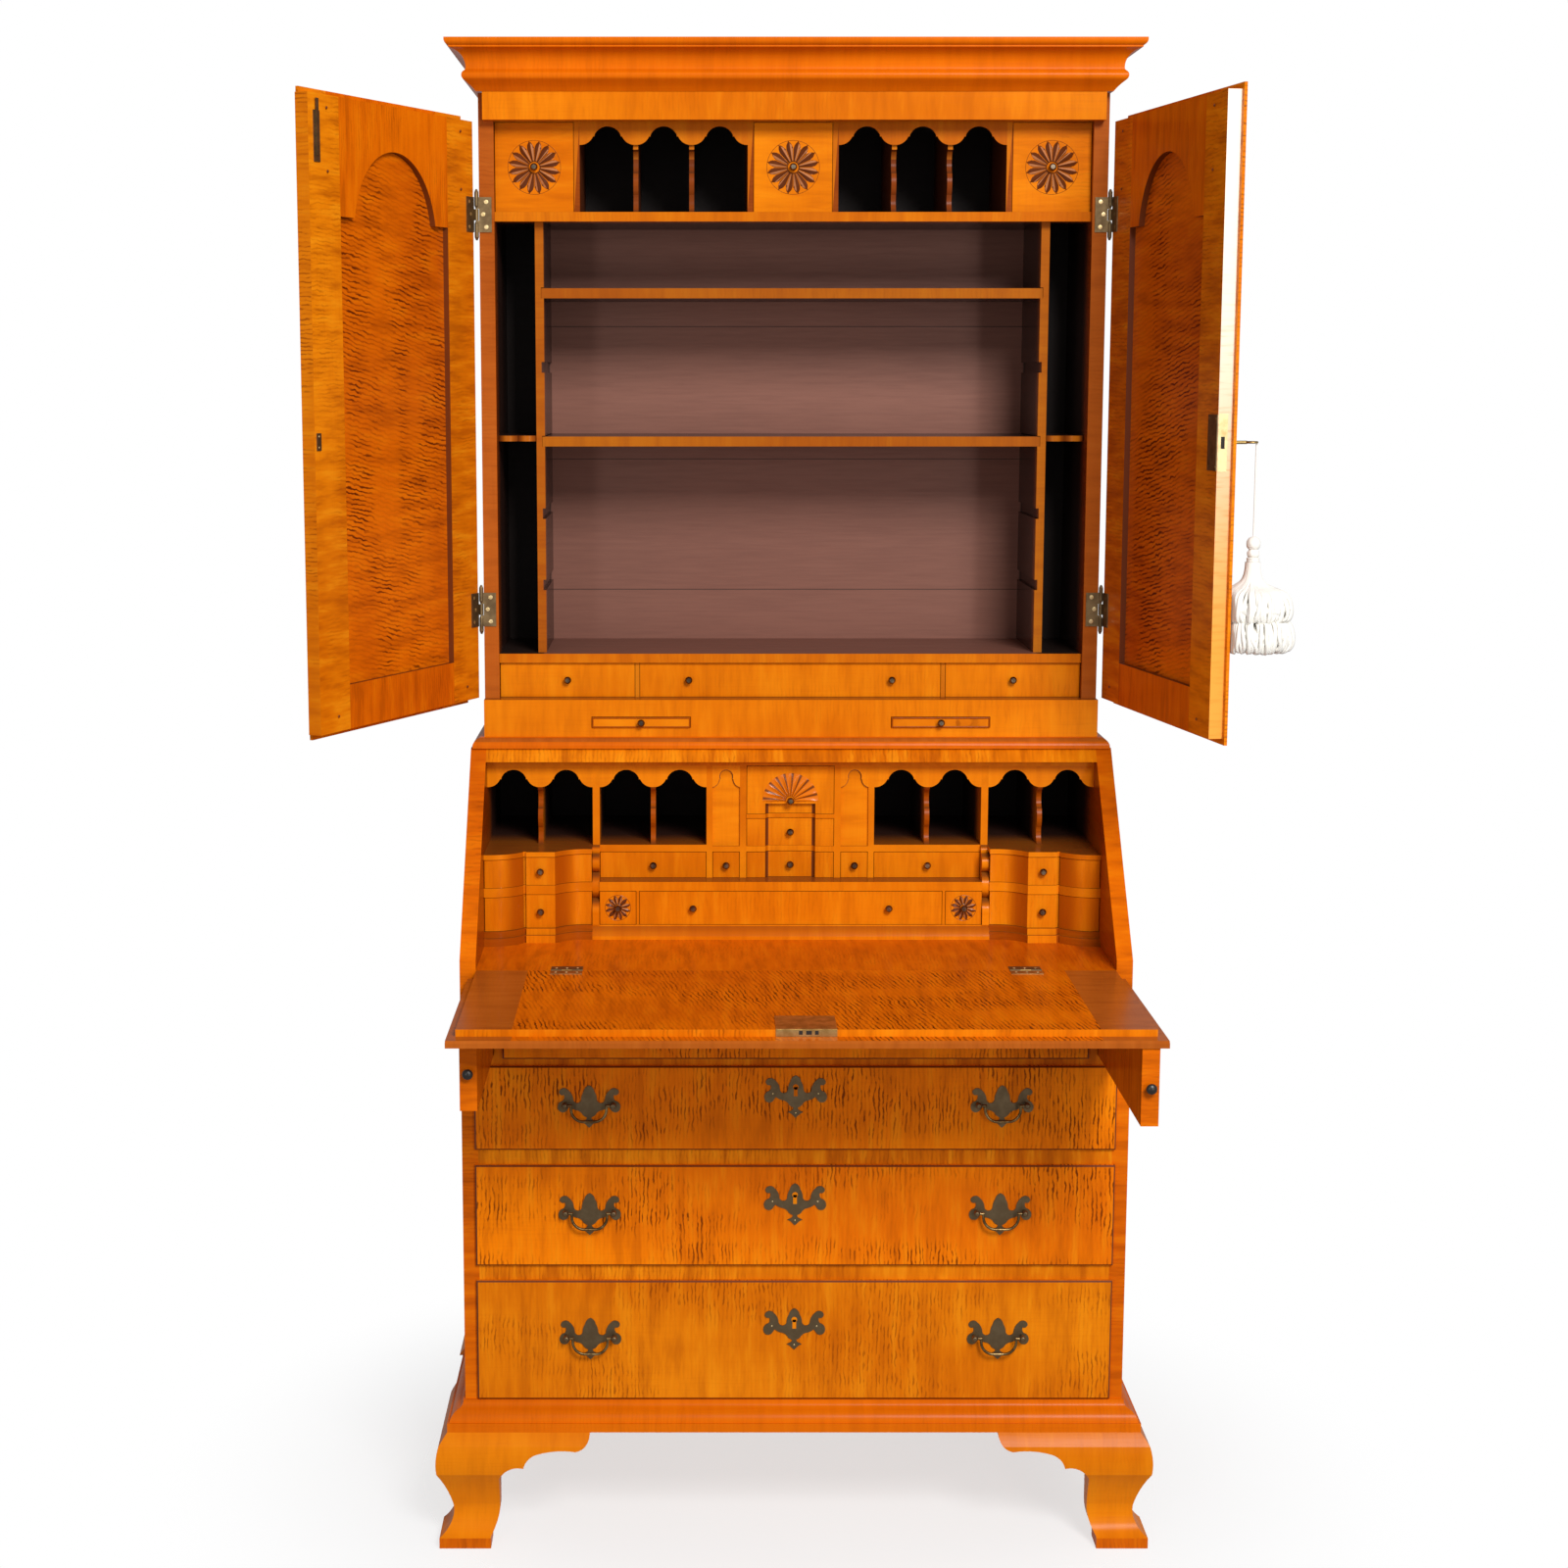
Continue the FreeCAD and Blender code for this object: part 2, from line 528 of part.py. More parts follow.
def serpentine(proud, back_y, edge="0"):
    """Plan of a blocked end: bowed by the wall, flat in the middle, hollow by the partition."""
    near = val(lower_front) - proud
    a, b = val(f"{inner}-{edge}"), val(f"{partition_out}+{edge}")
    out, mid = val("block_out"), val("block_in")
    flat, deep = near - val("block_step"), near - val("wall_step")
    return [(b, val(back_y)), (a, val(back_y)), (a, deep),
            ((0.5 * (a + out), deep + 0.17 * (flat - deep)), (out + 4, flat)), (out + 4, flat + 4), (out, flat + 4),
            (out, flat), (mid, flat), ((0.6 * mid + 0.4 * b, near - 0.2 * (near - flat)), (b, near))]


def gallery_case():
    """Base, ledge, shelves, partitions, letter compartments and top of the writing gallery."""
    wide = f"2*{inner}"
    deep_low, deep_up = f"{back}-{lower_front}", f"{back}-{upper_front}"
    parts = [board(f"-{inner}", lower_front, z_write, wide, deep_low, "base_board"),
             board("-partition_at", lower_front, z_ledge, "2*partition_at", deep_low, "ledge_thick"),
             board(f"-{inner}", upper_front, z_gallery_top, wide, deep_up, "gallery_top")]
    low, mid, top = val(z_row_b), val(z_hole), val(z_gallery_top)
    near, far, lead = val(upper_front), val(back), val(lower_front)
    step, third = near - lead, (mid - low) / 3
    scroll = prism("YZ", "partition_at", "partition_thick", (far, low), (far, top), (near, top), (near, mid),
                   ((near - 0.2 * step, mid - 2), (near - 0.25 * step, mid - 0.3 * third)),
                   ((near - 0.75 * step, mid - 0.55 * third), (near - 0.35 * step, mid - third)),
                   ((near - 0.95 * step, mid - 1.5 * third), (near - 0.6 * step, mid - 2 * third)),
                   ((lead - 3, mid - 2.3 * third), (lead - 4, mid - 2.6 * third)), (lead - 4, low))
    pieces = [scroll,
              board(letter_out, upper_front, z_shelf, f"partition_at-{letter_out}", deep_up, "shelf_thick"),
              board("letter_at", upper_front, z_row_a, "letter_post", deep_up, f"{z_gallery_top}-{z_row_a}"),
              board("prospect_half", upper_front, z_row_a, "prospect_post", deep_up,
                    f"{z_gallery_top}-{z_row_a}"),
              board(prospect_out, upper_front, z_shelf, f"letter_at-{prospect_out}", deep_up, "middle_rail")]
    back_of_letter = f"{upper_front}+box_front"
    pieces.append(board(prospect_out, f"{upper_front}+4", z_middle_box, f"letter_at-{prospect_out}", "8",
                        f"{z_gallery_top}-{z_middle_box}"))
    for z, high, proud in ((z_ledge, "ledge_thick", 1.5), (z_shelf + "+shelf_thick-7", "7", 2)):
        plan = serpentine(proud, back)
        pieces.append(prism("XY", z, high, plan[0], *plan[1:]))
    pieces.append(board("partition_at-fan_box-fan_post", lower_front, z_row_b, "fan_post", deep_low,
                        "row_b_high"))
    for piece in pieces:
        parts += both(piece)
    for z, high, proud in ((z_shelf, "middle_rail", 0), (z_fan_box + "-fan_rail", "fan_rail", 2)):
        plan = recess_plan(0, back_of_letter, proud)
        parts.append(prism("XY", z, high, plan[0], *plan[1:]))
        parts.append(board("-prospect_half", back_of_letter, z, "2*prospect_half",
                           f"{back}-({back_of_letter})", high))
    return node("gallery_case", parts)


def recess_plan(gap, back_y, proud=0):
    """Plan of a prospect drawer's front, hollowed in the middle between two coves."""
    edge, half_wide, deep = val("prospect_half") - gap, val("recess_half"), val("recess_deep")
    near = val(upper_front) - proud
    bend = 0.29 * deep
    return [(-edge, val(back_y)), (edge, val(back_y)), (edge, near), (half_wide, near),
            ((half_wide - bend, near + deep - bend), (half_wide - deep, near + deep)), (deep - half_wide,
                                                                                        near + deep),
            ((bend - half_wide, near + deep - bend), (-half_wide, near)), (-edge, near)]


def arches(low_x, high_x, count, z, drop, y, thick):
    """A scalloped valance: equal arches, each notched at its foot, with a round lobe between each two."""
    pitch = (high_x - low_x) / count
    foot, nick = 0.24 * pitch, 0.025 * pitch
    crown, notch = z - 0.185 * drop, z - 0.63 * drop
    steps = []
    for n in range(count - 1, -1, -1):
        left = low_x + n * pitch
        right = left + pitch
        steps += [((right - 0.62 * foot, z - 0.9 * drop), (right - foot, notch)),
                  (right - foot - nick, notch), (right - foot - nick, notch + nick),
                  ((left + pitch / 2, crown), (left + foot + nick, notch + nick)),
                  (left + foot + nick, notch), (left + foot, notch),
                  ((left + 0.62 * foot, z - 0.9 * drop), (left, z - drop))]
    return prism("XZ", y, thick, (low_x, z), (high_x, z), (high_x, z - drop), *steps)


def gallery_valances():
    """Scalloped valances over the letter holes and over the two narrow panels."""
    z, drop = val(z_gallery_top), val("valance_high")
    parts = []
    for low, high, count in ((letter_out, "partition_at", 2), (partition_out, inner, 2),
                             (prospect_out, "letter_at", 1)):
        thick = "valance_thick" if count == 2 else "4"
        parts += both(arches(val(low), val(high), count, z, drop, upper_front, thick))
    return node("gallery_valances", parts)


def scroll_divider(x, thick, y, far, z0, z1, set_back):
    """A thin upright whose front edge falls in a long double curve."""
    low, high, near = val(z0), val(z1), val(y) + set_back
    tall = high - low
    return prism("YZ", x, thick, (val(far), low), (val(far), high), (near, high), (near, high - 0.3 * tall),
                 ((near + 15, high - 0.42 * tall), (near + 7, high - 0.56 * tall)),
                 ((near + 3, high - 0.68 * tall), (near + 9, high - 0.8 * tall)),
                 ((near + 9, high - 0.92 * tall), (near + 1, low)))


def gallery_dividers():
    """Thin dividers of the letter holes and the moulding along the gallery's foot."""
    parts = []
    for low, high in ((letter_out, "partition_at"), (partition_out, inner)):
        parts += both(scroll_divider(f"({low}+{high}-divider_thick)/2", "divider_thick", upper_front, back,
                                     z_hole,
                                     z_gallery_top, val("valance_thick") + 0.2))
    foot_z, foot_high, proud = val(z_write), val("base_board"), 11
    plan = serpentine(proud - 1, lower_front)
    parts += both(prism("XY", z_write, "0.55*base_board", plan[0], *plan[1:]))
    plan = serpentine(0.4 * proud, lower_front)
    parts += both(prism("XY", f"{z_write}+0.55*base_board", "0.45*base_board", plan[0], *plan[1:]))
    edge = val(partition_out)
    near = val(lower_front)
    parts.append(prism("YZ", -edge, 2 * edge, (near, foot_z), (near - proud, foot_z),
                       (near - proud, foot_z + 5),
                       ((near - proud + 4, foot_z + 0.6 * foot_high), (near - 2, foot_z + foot_high - 2)),
                       (near - 2, foot_z + foot_high), (near, foot_z + foot_high)))
    return node("gallery_dividers", parts)


def gallery_drawers():
    """The fourteen small drawers of the writing gallery."""
    half_a = "row_a_high/2"
    for side, sign in (("left", "-"), ("right", "")):
        def span(low, high):
            return (f"-{high}" if sign else low), f"({high}-{low})"

        x, wide = span(letter_out, "partition_at")
        small_drawer(f"{side}_letter_drawer", x, wide, upper_front, z_row_a, "row_a_high",
                     [(f"{x}+{wide}/2", f"{z_row_a}+{half_a}")])
        x, wide = span(prospect_out, "letter_at")
        small_drawer(f"{side}_narrow_drawer", x, wide, upper_front, z_row_a, "row_a_high",
                     [(f"{x}+{wide}/2", f"{z_row_a}+{half_a}")])
        x, wide = span("(partition_at-fan_box)", "partition_at")
        small_drawer(f"{side}_fan_drawer", x, wide, lower_front, z_row_b, "row_b_high",
                     [(f"{x}+{wide}/2", f"{z_row_b}+row_b_high/2")])
        for level, z, high in (("upper", z_row_a, f"({z_hole}-7-{z_row_a})"),
                               ("lower", z_row_b, "row_b_high")):
            blocked_drawer(f"{side}_{level}_blocked_drawer", sign, z, high)
    long = "(partition_at-fan_box-fan_post)"
    small_drawer("gallery_long_drawer", f"-{long}", f"2*{long}", lower_front, z_row_b, "row_b_high",
                 [("-long_knob_at", f"{z_row_b}+row_b_high/2"), ("long_knob_at", f"{z_row_b}+row_b_high/2")])
    prospect_drawer("prospect_low_drawer", z_row_a, "row_a_high", f"{z_row_a}+{half_a}", "row_a_high")
    prospect_drawer("prospect_middle_drawer", z_middle_box, "middle_high", f"{z_middle_box}+middle_high/2",
                    "middle_high")
    fan_high = f"({z_gallery_top}-{z_fan_box})"
    prospect_drawer("prospect_fan_drawer", z_fan_box, fan_high, f"{z_fan_box}+20", "15")


def blocked_drawer(label, sign, z, high):
    """An end drawer with a bowed, flat and hollow front in one piece."""
    plan = serpentine(0, f"({lower_front}+6)", "running_gap")
    face = prism("XY", f"{z}+seat_gap", f"{high}-seat_gap-running_gap", plan[0], *plan[1:])
    x, wide = partition_out, f"({inner}-{partition_out})"
    walls = drawer_box(x, wide, f"({lower_front}+6)", "box_deep", z, high, "box_wall", "box_floor")
    pull = knob("(block_in+block_out)/2", f"{lower_front}-block_step", f"{z}+{high}/2")
    parts = [face] + walls + [pull]
    return node(label, [mirrored(p) for p in parts] if sign else parts)


def prospect_drawer(label, z, high, knob_z, hollow):
    """A middle drawer; its front is hollowed up to the height given."""
    plan = recess_plan(val("running_gap"), f"({upper_front}+box_front)")
    face = prism("XY", f"{z}+seat_gap", f"{hollow}-seat_gap" + ("" if hollow == "15" else "-running_gap"),
                 plan[0], *plan[1:])
    depth = "recess_deep"
    if hollow == "15":
        cap = board("-prospect_half+running_gap", upper_front, f"{z}+{hollow}",
                    "2*(prospect_half-running_gap)",
                    "box_front", f"{high}-{hollow}-running_gap")
        face = combine("Fuse", face, cap)
        depth = "0"
    walls = drawer_box("-prospect_half", "2*prospect_half", f"({upper_front}+box_front)",
                       "(box_deep-box_front)", z, high,
                       "box_wall", "box_floor")
    return node(label, [face] + walls + [knob("0", f"{upper_front}+{depth}", knob_z)])


def loper(label, sign, out):
    """A slide that carries the open fall, with a turned knob on its end."""
    x = f"{inner}-running_gap-loper_thick" if not sign else f"-{inner}+running_gap"
    y = f"{front}-{out}"
    z, high = f"{z_loper}+seat_gap", "loper_high-2*seat_gap"
    bar = board(x, f"{y}+8", z, "loper_thick", "loper_long", high)
    end = board(x, y, z, "loper_thick", "8", high)
    pull = knob(f"{x}+loper_thick/2", y, f"{z_loper}+loper_high/2")
    return node(label, [bar, end, pull])


def fall_board():
    """The writing fall: a panel with two end cleats, lipped on its sides and top edge."""
    angle = math.radians(val("slant_angle"))
    top, thick, rebate = val(z_write), val("fall_thick"), val("fall_rebate")
    hinge = val(front) - val("seat_gap")
    end = hinge - val("fall_long")
    bevel = thick * math.tan(angle)
    lip, edge = val("fall_lip"), 3
    steps = [(hinge, top), (end, top), (end, top - rebate), (end - lip + edge, top - rebate),
             (end - lip, top - rebate - edge), (end - lip, top - thick), (hinge - bevel, top - thick)]
    reach = f"({inner}-running_gap)"
    middle = f"({reach}-cleat_wide)"
    panel = prism("YZ", f"-{middle}", f"2*{middle}", steps[0], *steps[1:])
    cleat = prism("YZ", middle, "cleat_wide+fall_side_lip", steps[0], *steps[1:])
    cut = board(reach, f"{front}-fall_long-2*fall_lip", f"{z_write}-fall_rebate", "2*fall_side_lip",
                "fall_long+3*fall_lip", "2*fall_rebate")
    panel = combine("Cut", panel, *both(fall_notch()))
    return node("fall_board", [panel] + both(combine("Cut", cleat, cut)))


def fall_brasses():
    """The fall's hinge leaves and its lock plate, laid on the writing face."""
    leaf = board("fall_leaf_at", f"{fall_axis}-fall_leaf_wide", z_write, "fall_leaf_long",
                 f"fall_leaf_wide-{leaf_start}", "leaf_thick/2")
    third = "(fall_leaf_long/3-2*seat_gap)"
    leaf = combine("Fuse", leaf, fall_knuckle("fall_leaf_at+fall_leaf_long/3+seat_gap", third, -1))
    lock = board("-fall_lock_long/2", f"{fall_axis}-fall_long", z_write, "fall_lock_long", "fall_lock_wide",
                 "leaf_thick/2")
    edge = board("-fall_lock_long/2", f"{fall_axis}-fall_long-0.8*leaf_thick",
                 f"{z_write}-fall_rebate+seat_gap",
                 "fall_lock_long", "0.8*leaf_thick", "fall_rebate-seat_gap")
    return node("fall_brasses", both(leaf) + [lock, edge])


def bookcase_case():
    """Sides, boards, frieze and candle rail of the bookcase."""
    side = board(book_inner, book_front, z_desk, "book_side", "book_depth", f"{z_cornice}-{z_desk}")
    wide, left = f"2*{book_inner}", f"-{book_inner}"
    deep = f"{back}-{book_front}"
    set_deep = f"{back}-{inner_front}"
    parts = both(side)
    parts += [board(left, book_front, z_desk, wide, deep, "waist_high"),
              board(left, book_front, f"{z_tray}-10", wide, deep, "10"),
              board(left, f"{inner_front}-6", z_floor, wide, f"{set_deep}+6", "book_floor"),
              board(left, f"{inner_front}-6", z_deck, wide, f"{set_deep}+6", "deck_thick"),
              board(left, book_front, f"{z_cornice}-12", wide, deep, "12"),
              board(left, inner_front, z_frieze, wide, "12", f"{z_cornice}-12-{z_frieze}"),
              combine("Cut", board(f"frieze_inset-{book_half}", face_front, z_frieze,
                                   f"2*({book_half}-frieze_inset)",
                                   "face_thick", "frieze_high"),
                      board("-bolt_in", f"{book_front}-5", f"{z_frieze}-1", "2*bolt_wide", "6",
                            "2*bolt_wide"))]
    slide_z = f"({z_candle}+candle_rise)"
    parts += [board(f"-{book_half}", face_front, z_desk, f"2*{book_half}", "face_thick",
                    "waist_high+candle_rise"),
              board(f"-{book_half}", face_front, f"{slide_z}+candle_tall", f"2*{book_half}", "face_thick",
                    "candle_high-candle_rise-candle_tall"),
              board("-candle_at", face_front, slide_z, "2*candle_at", "face_thick", "candle_tall")]
    outer = "candle_at+candle_wide"
    parts += both(board(outer, face_front, slide_z, f"{book_half}-({outer})", "face_thick", "candle_tall"))
    for x in ("candle_at-10", outer):
        parts += both(board(x, book_front, z_candle, "10", deep, f"{z_tray}-10-{z_candle}"))
    runner = board("candle_at", book_front, z_candle, "candle_wide", deep, "candle_rise")
    parts += both(runner)
    parts += both(board("tray_at", inner_front, z_tray, "tray_post", set_deep, "tray_high"))
    return node("bookcase_case", parts)


def bookcase_uprights():
    """Uprights with slots for the shelves, two long shelves and two short ones with waved edges."""
    near = f"{book_front}+upright_set"
    upright = board("upright_at", near, z_bay, "upright_thick", f"{back}-({near})", "shelf_bay")
    for level in ("lower_shelf", "upper_shelf", "(lower_shelf-205)", "(lower_shelf-103)",
                  "(lower_shelf+104)"):
        slot = board("upright_at-1", f"{near}-1", f"{z_bay}+{level}-seat_gap", "slot_deep+1",
                     f"{back}-({near})+2",
                     "slot_high")
        upright = combine("Cut", upright, slot)
    parts = both(upright)
    for level in ("lower_shelf", "upper_shelf"):
        parts.append(board("-upright_at-slot_deep+seat_gap", f"{near}+2", f"{z_bay}+{level}-seat_gap",
                           "2*(upright_at+slot_deep-seat_gap)", f"{back}-({near})-2", "shelf_board"))
    a, b = val("upright_at+upright_thick"), val(book_inner)
    y, far = val(near), val(back)
    wave = prism("XY", f"{z_bay}+side_shelf", "8", (a, far), (b, far), (b, y + 6),
                 ((0.25 * a + 0.75 * b, y - 3), (0.5 * (a + b), y + 6)), ((0.75 * a + 0.25 * b, y - 3),
                                                                          (a, y + 6)))
    return node("bookcase_shelves", parts + both(wave))


def bookcase_pigeonholes():
    """Posts, valances and scrolled dividers between the three rosette drawers."""
    near, far = inner_front, back
    low, high = "(rosette_box/2)", f"({book_inner}-rosette_box)"
    deep = f"{far}-{near}"
    parts = []
    for x in (low, f"{high}-pigeon_post"):
        parts += both(board(x, near, z_pigeon, "pigeon_post", deep, "pigeon_high"))
    a, b = val(f"{low}+pigeon_post"), val(f"{high}-pigeon_post")
    parts += both(arches(a, b, 3, val(z_frieze), val("valance_high"), near, "valance_thick"))
    for share in (1 / 3, 2 / 3):
        x = a + share * (b - a) - val("divider_thick") / 2
        parts += both(scroll_divider(x, "divider_thick", near, far, z_pigeon, z_frieze,
                                     val("valance_thick") + 0.2))
    return node("bookcase_pigeonholes", parts)


def bookcase_drawers():
    """Three rosette drawers, three tray drawers and two candle slides."""
    deep = "box_deep-10"
    middle = f"{z_pigeon}+pigeon_high/2"
    edge = f"({book_inner}-rosette_box)"
    for label, x in (("left_rosette_drawer", f"-{book_inner}"), ("middle_rosette_drawer", "-rosette_box/2"),
                     ("right_rosette_drawer", edge)):
        small_drawer(label, x, "rosette_box", inner_front, z_pigeon, "pigeon_high",
                     [(f"{x}+rosette_box/2", middle)],
                     deep=f"({deep})")
    level = f"{z_tray}+tray_high/2"
    outer = "(tray_at+tray_post)"
    wide = f"({book_inner}-{outer})"
    small_drawer("left_tray_drawer", f"-{book_inner}", wide, inner_front, z_tray, "tray_high",
                 [(f"-{book_inner}+{wide}/2", level)], deep=f"({deep})")
    small_drawer("middle_tray_drawer", "-tray_at", "2*tray_at", inner_front, z_tray, "tray_high",
                 [("-tray_knob_at", level), ("tray_knob_at", level)], deep=f"({deep})")
    small_drawer("right_tray_drawer", outer, wide, inner_front, z_tray, "tray_high",
                 [(f"{outer}+{wide}/2", level)],
                 deep=f"({deep})")
    slide_z = f"({z_candle}+candle_rise)"
    for label, x in (("left_candle_slide", "-candle_at-candle_wide"), ("right_candle_slide", "candle_at")):
        bar = board(f"{x}+running_gap", f"{face_front}-2", f"{slide_z}+seat_gap", "candle_wide-2*running_gap",
                    "candle_long", "candle_tall-seat_gap-running_gap")
        node(label, [bar, knob(f"{x}+candle_wide/2", f"{face_front}-2", f"{slide_z}+candle_tall/2")])


door_back = "(2*leaf_thick+leaf_gap)"
door_low = f"({z_tray}+door_gap)"
door_high = f"({z_frieze}-{z_tray}-2*door_gap)"
door_wide = f"({book_half}-door_gap/2)"
low_hinge = f"({z_tray}+hinge_inset)"
high_hinge = f"({z_frieze}-hinge_inset)"
lock_at = f"({z_tray}+lock_rise)"
LEFT_PLACE = (f"-{book_half}-pin_out", book_front, "-left_door_angle")
RIGHT_PLACE = (f"{book_half}+pin_out", book_front, "right_door_angle")


def door_piece(x, wide, z, high, left_lap, right_lap, low_lap, high_lap):
    """A framing member: a thick inner layer and a thin outer layer that laps past it."""
    core = board(f"pin_out+{x}", f"-({door_back})-door_thick+door_lap", f"{door_low}+{z}", wide,
                 "door_thick-door_lap", high)
    skin = board(f"pin_out+{x}-({left_lap})", f"-({door_back})-door_thick", f"{door_low}+{z}-({low_lap})",
                 f"{wide}+({left_lap})+({right_lap})", "door_lap", f"{high}+({low_lap})+({high_lap})")
    return combine("Fuse", core, skin)


def door(label, place, mirror, edge_lap):
    """Stiles, arched top rail, bottom rail and a fielded tombstone panel."""
    rail_x, rail_wide = "stile_wide", f"({door_wide}-2*stile_wide)"
    hinge_stile = door_piece("0", "stile_wide", "0", door_high, "0", "0", "lap_wide", "lap_wide")
    free_stile = door_piece(f"({door_wide}-stile_wide)", "stile_wide", "0", door_high, "0", edge_lap,
                            "lap_wide", "lap_wide")
    low_rail = door_piece(rail_x, rail_wide, "0", "bottom_rail", "0", "0", "lap_wide", "0")
    top_z = f"({door_high}-shoulder_rail)"
    top_rail = door_piece(rail_x, rail_wide, top_z, "shoulder_rail", "0", "0", "0", "lap_wide")
    mid_x = val(f"pin_out+{door_wide}/2")
    shoulder, apex = val(f"{door_low}+{top_z}"), val(f"{door_low}+{door_high}-arch_rail")
    reach, y, thick = val("arch_half"), val(f"-({door_back})-door_thick"), val("door_thick")
    hollow = prism("XZ", y - 1, thick + 2, (mid_x - reach, shoulder - 1), (mid_x + reach, shoulder - 1),
                   (mid_x + reach, shoulder), ((mid_x, apex), (mid_x - reach, shoulder)))
    top_rail = combine("Cut", top_rail, hollow)
    a, b = val(f"pin_out+{rail_x}"), val(f"pin_out+{rail_x}+{rail_wide}")
    low = val(f"{door_low}+bottom_rail")
    gap = val("seat_gap")
    sheet_y = f"-({door_back})-panel_sink-panel_thick"
    panel = prism("XZ", sheet_y, "panel_thick", (a, low), (b, low), (b, shoulder),
                  (mid_x + reach - gap, shoulder),
                  ((mid_x, apex - gap), (mid_x - reach + gap, shoulder)), (a, shoulder))
    edge = val("field_edge")
    field = prism("XZ", f"{sheet_y}-field_proud", "field_proud", (a + edge, low + edge),
                  (b - edge, low + edge),
                  (b - edge, shoulder - edge), (mid_x + reach - edge, shoulder - edge),
                  ((mid_x, apex - edge), (mid_x - reach + edge, shoulder - edge)), (a + edge,
                                                                                    shoulder - edge))
    parts = [hinge_stile, free_stile, low_rail, top_rail, combine("Fuse", panel, field)]
    return node(label, [mirrored(p) for p in parts] if mirror else parts, place)


def barrel(x, y, z, high, radius, cap):
    """A hinge knuckle with a turned tip at each end when cap is set."""
    tip = 0.16 * high if cap else 0
    body = turned((0, 0), (0.4 * radius, 0), (radius, tip), (radius, high - tip), (0.4 * radius, high),
                  (0, high))
    if not cap:
        body = turned((0, 0), (radius, 0), (radius, high), (0, high))
    return bind(body, Base_x=x, Base_y=y, Base_z=z)


def door_leaves():
    """Door half of each butt hinge, in the door's own frame: a leaf with the middle knuckle."""
    parts = []
    for level in (low_hinge, high_hinge):
        z = f"{level}-leaf_high/2"
        leaf = board("pin_out", f"-({door_back})", z, "leaf_wide", "leaf_thick", "leaf_high")
        tongue = board("barrel_r*0.5", f"-({door_back})", f"{level}-leaf_high/6+seat_gap",
                       "pin_out-barrel_r*0.5",
                       "leaf_thick", "leaf_high/3-2*seat_gap")
        knuckle = barrel("0", "0", f"{level}-leaf_high/6+seat_gap", val("leaf_high/3-2*seat_gap"),
                         val("barrel_r"), False)
        parts.append(combine("Fuse", leaf, tongue, knuckle))
    return parts


def hinge_leaves():
    """Case half of the door hinges, with the outer knuckles and tips, and of the fall's hinges."""
    parts = []
    for level in (low_hinge, high_hinge):
        z = f"{level}-leaf_high/2"
        leaf = board(f"{book_half}-leaf_wide+pin_out", f"{book_front}-leaf_thick", z, "leaf_wide-pin_out",
                     "leaf_thick",
                     "leaf_high")
        pin = f"{book_half}+pin_out"
        long = "(barrel_high/2-leaf_high/6)"
        for low in (f"{level}-barrel_high/2", f"{level}+leaf_high/6"):
            ear_z = low if "-barrel" not in low else z
            ear = board(book_half, f"{book_front}-leaf_thick", ear_z, "pin_out", "leaf_thick", "leaf_high/3")
            knuckle = barrel(pin, book_front, low, val(long), val("barrel_r"), True)
            leaf = combine("Fuse", leaf, ear, knuckle)
        parts += both(leaf)
    leaf = board("fall_leaf_at", f"{fall_axis}+{leaf_start}", z_write, "fall_leaf_long",
                 f"fall_leaf_wide-{leaf_start}", "leaf_thick/2")
    for x in ("fall_leaf_at", "fall_leaf_at+2*fall_leaf_long/3"):
        leaf = combine("Fuse", leaf, fall_knuckle(x, "fall_leaf_long/3", 1))
    return node("hinge_leaves", parts + both(leaf))


def left_door_fittings():
    """Left door's hinge leaves, the plate of its slide bolt and the strike on its free edge; and the bolt."""
    y = f"-({door_back})"
    bolt_x = f"pin_out+{door_wide}-bolt_in"
    bolt_z = f"{door_low}+{door_high}-1.2*bolt_long"
    guide = board(bolt_x, y, bolt_z, "bolt_plate", "leaf_thick", "0.9*bolt_long")
    strike = board(f"pin_out+{door_wide}-1.4*strike_wide", y, f"{lock_at}-strike_tall/2", "strike_wide",
                   "leaf_thick", "strike_tall")
    node("left_door_brasses", door_leaves() + [guide, strike], LEFT_PLACE)
    rod = board(f"{bolt_x}+(bolt_plate-bolt_wide)/2", f"{y}+leaf_thick+0.1", f"{bolt_z}+0.11*bolt_long",
                "bolt_wide",
                "0.8*leaf_thick", "bolt_long")
    node("left_door_bolt", [rod], LEFT_PLACE)


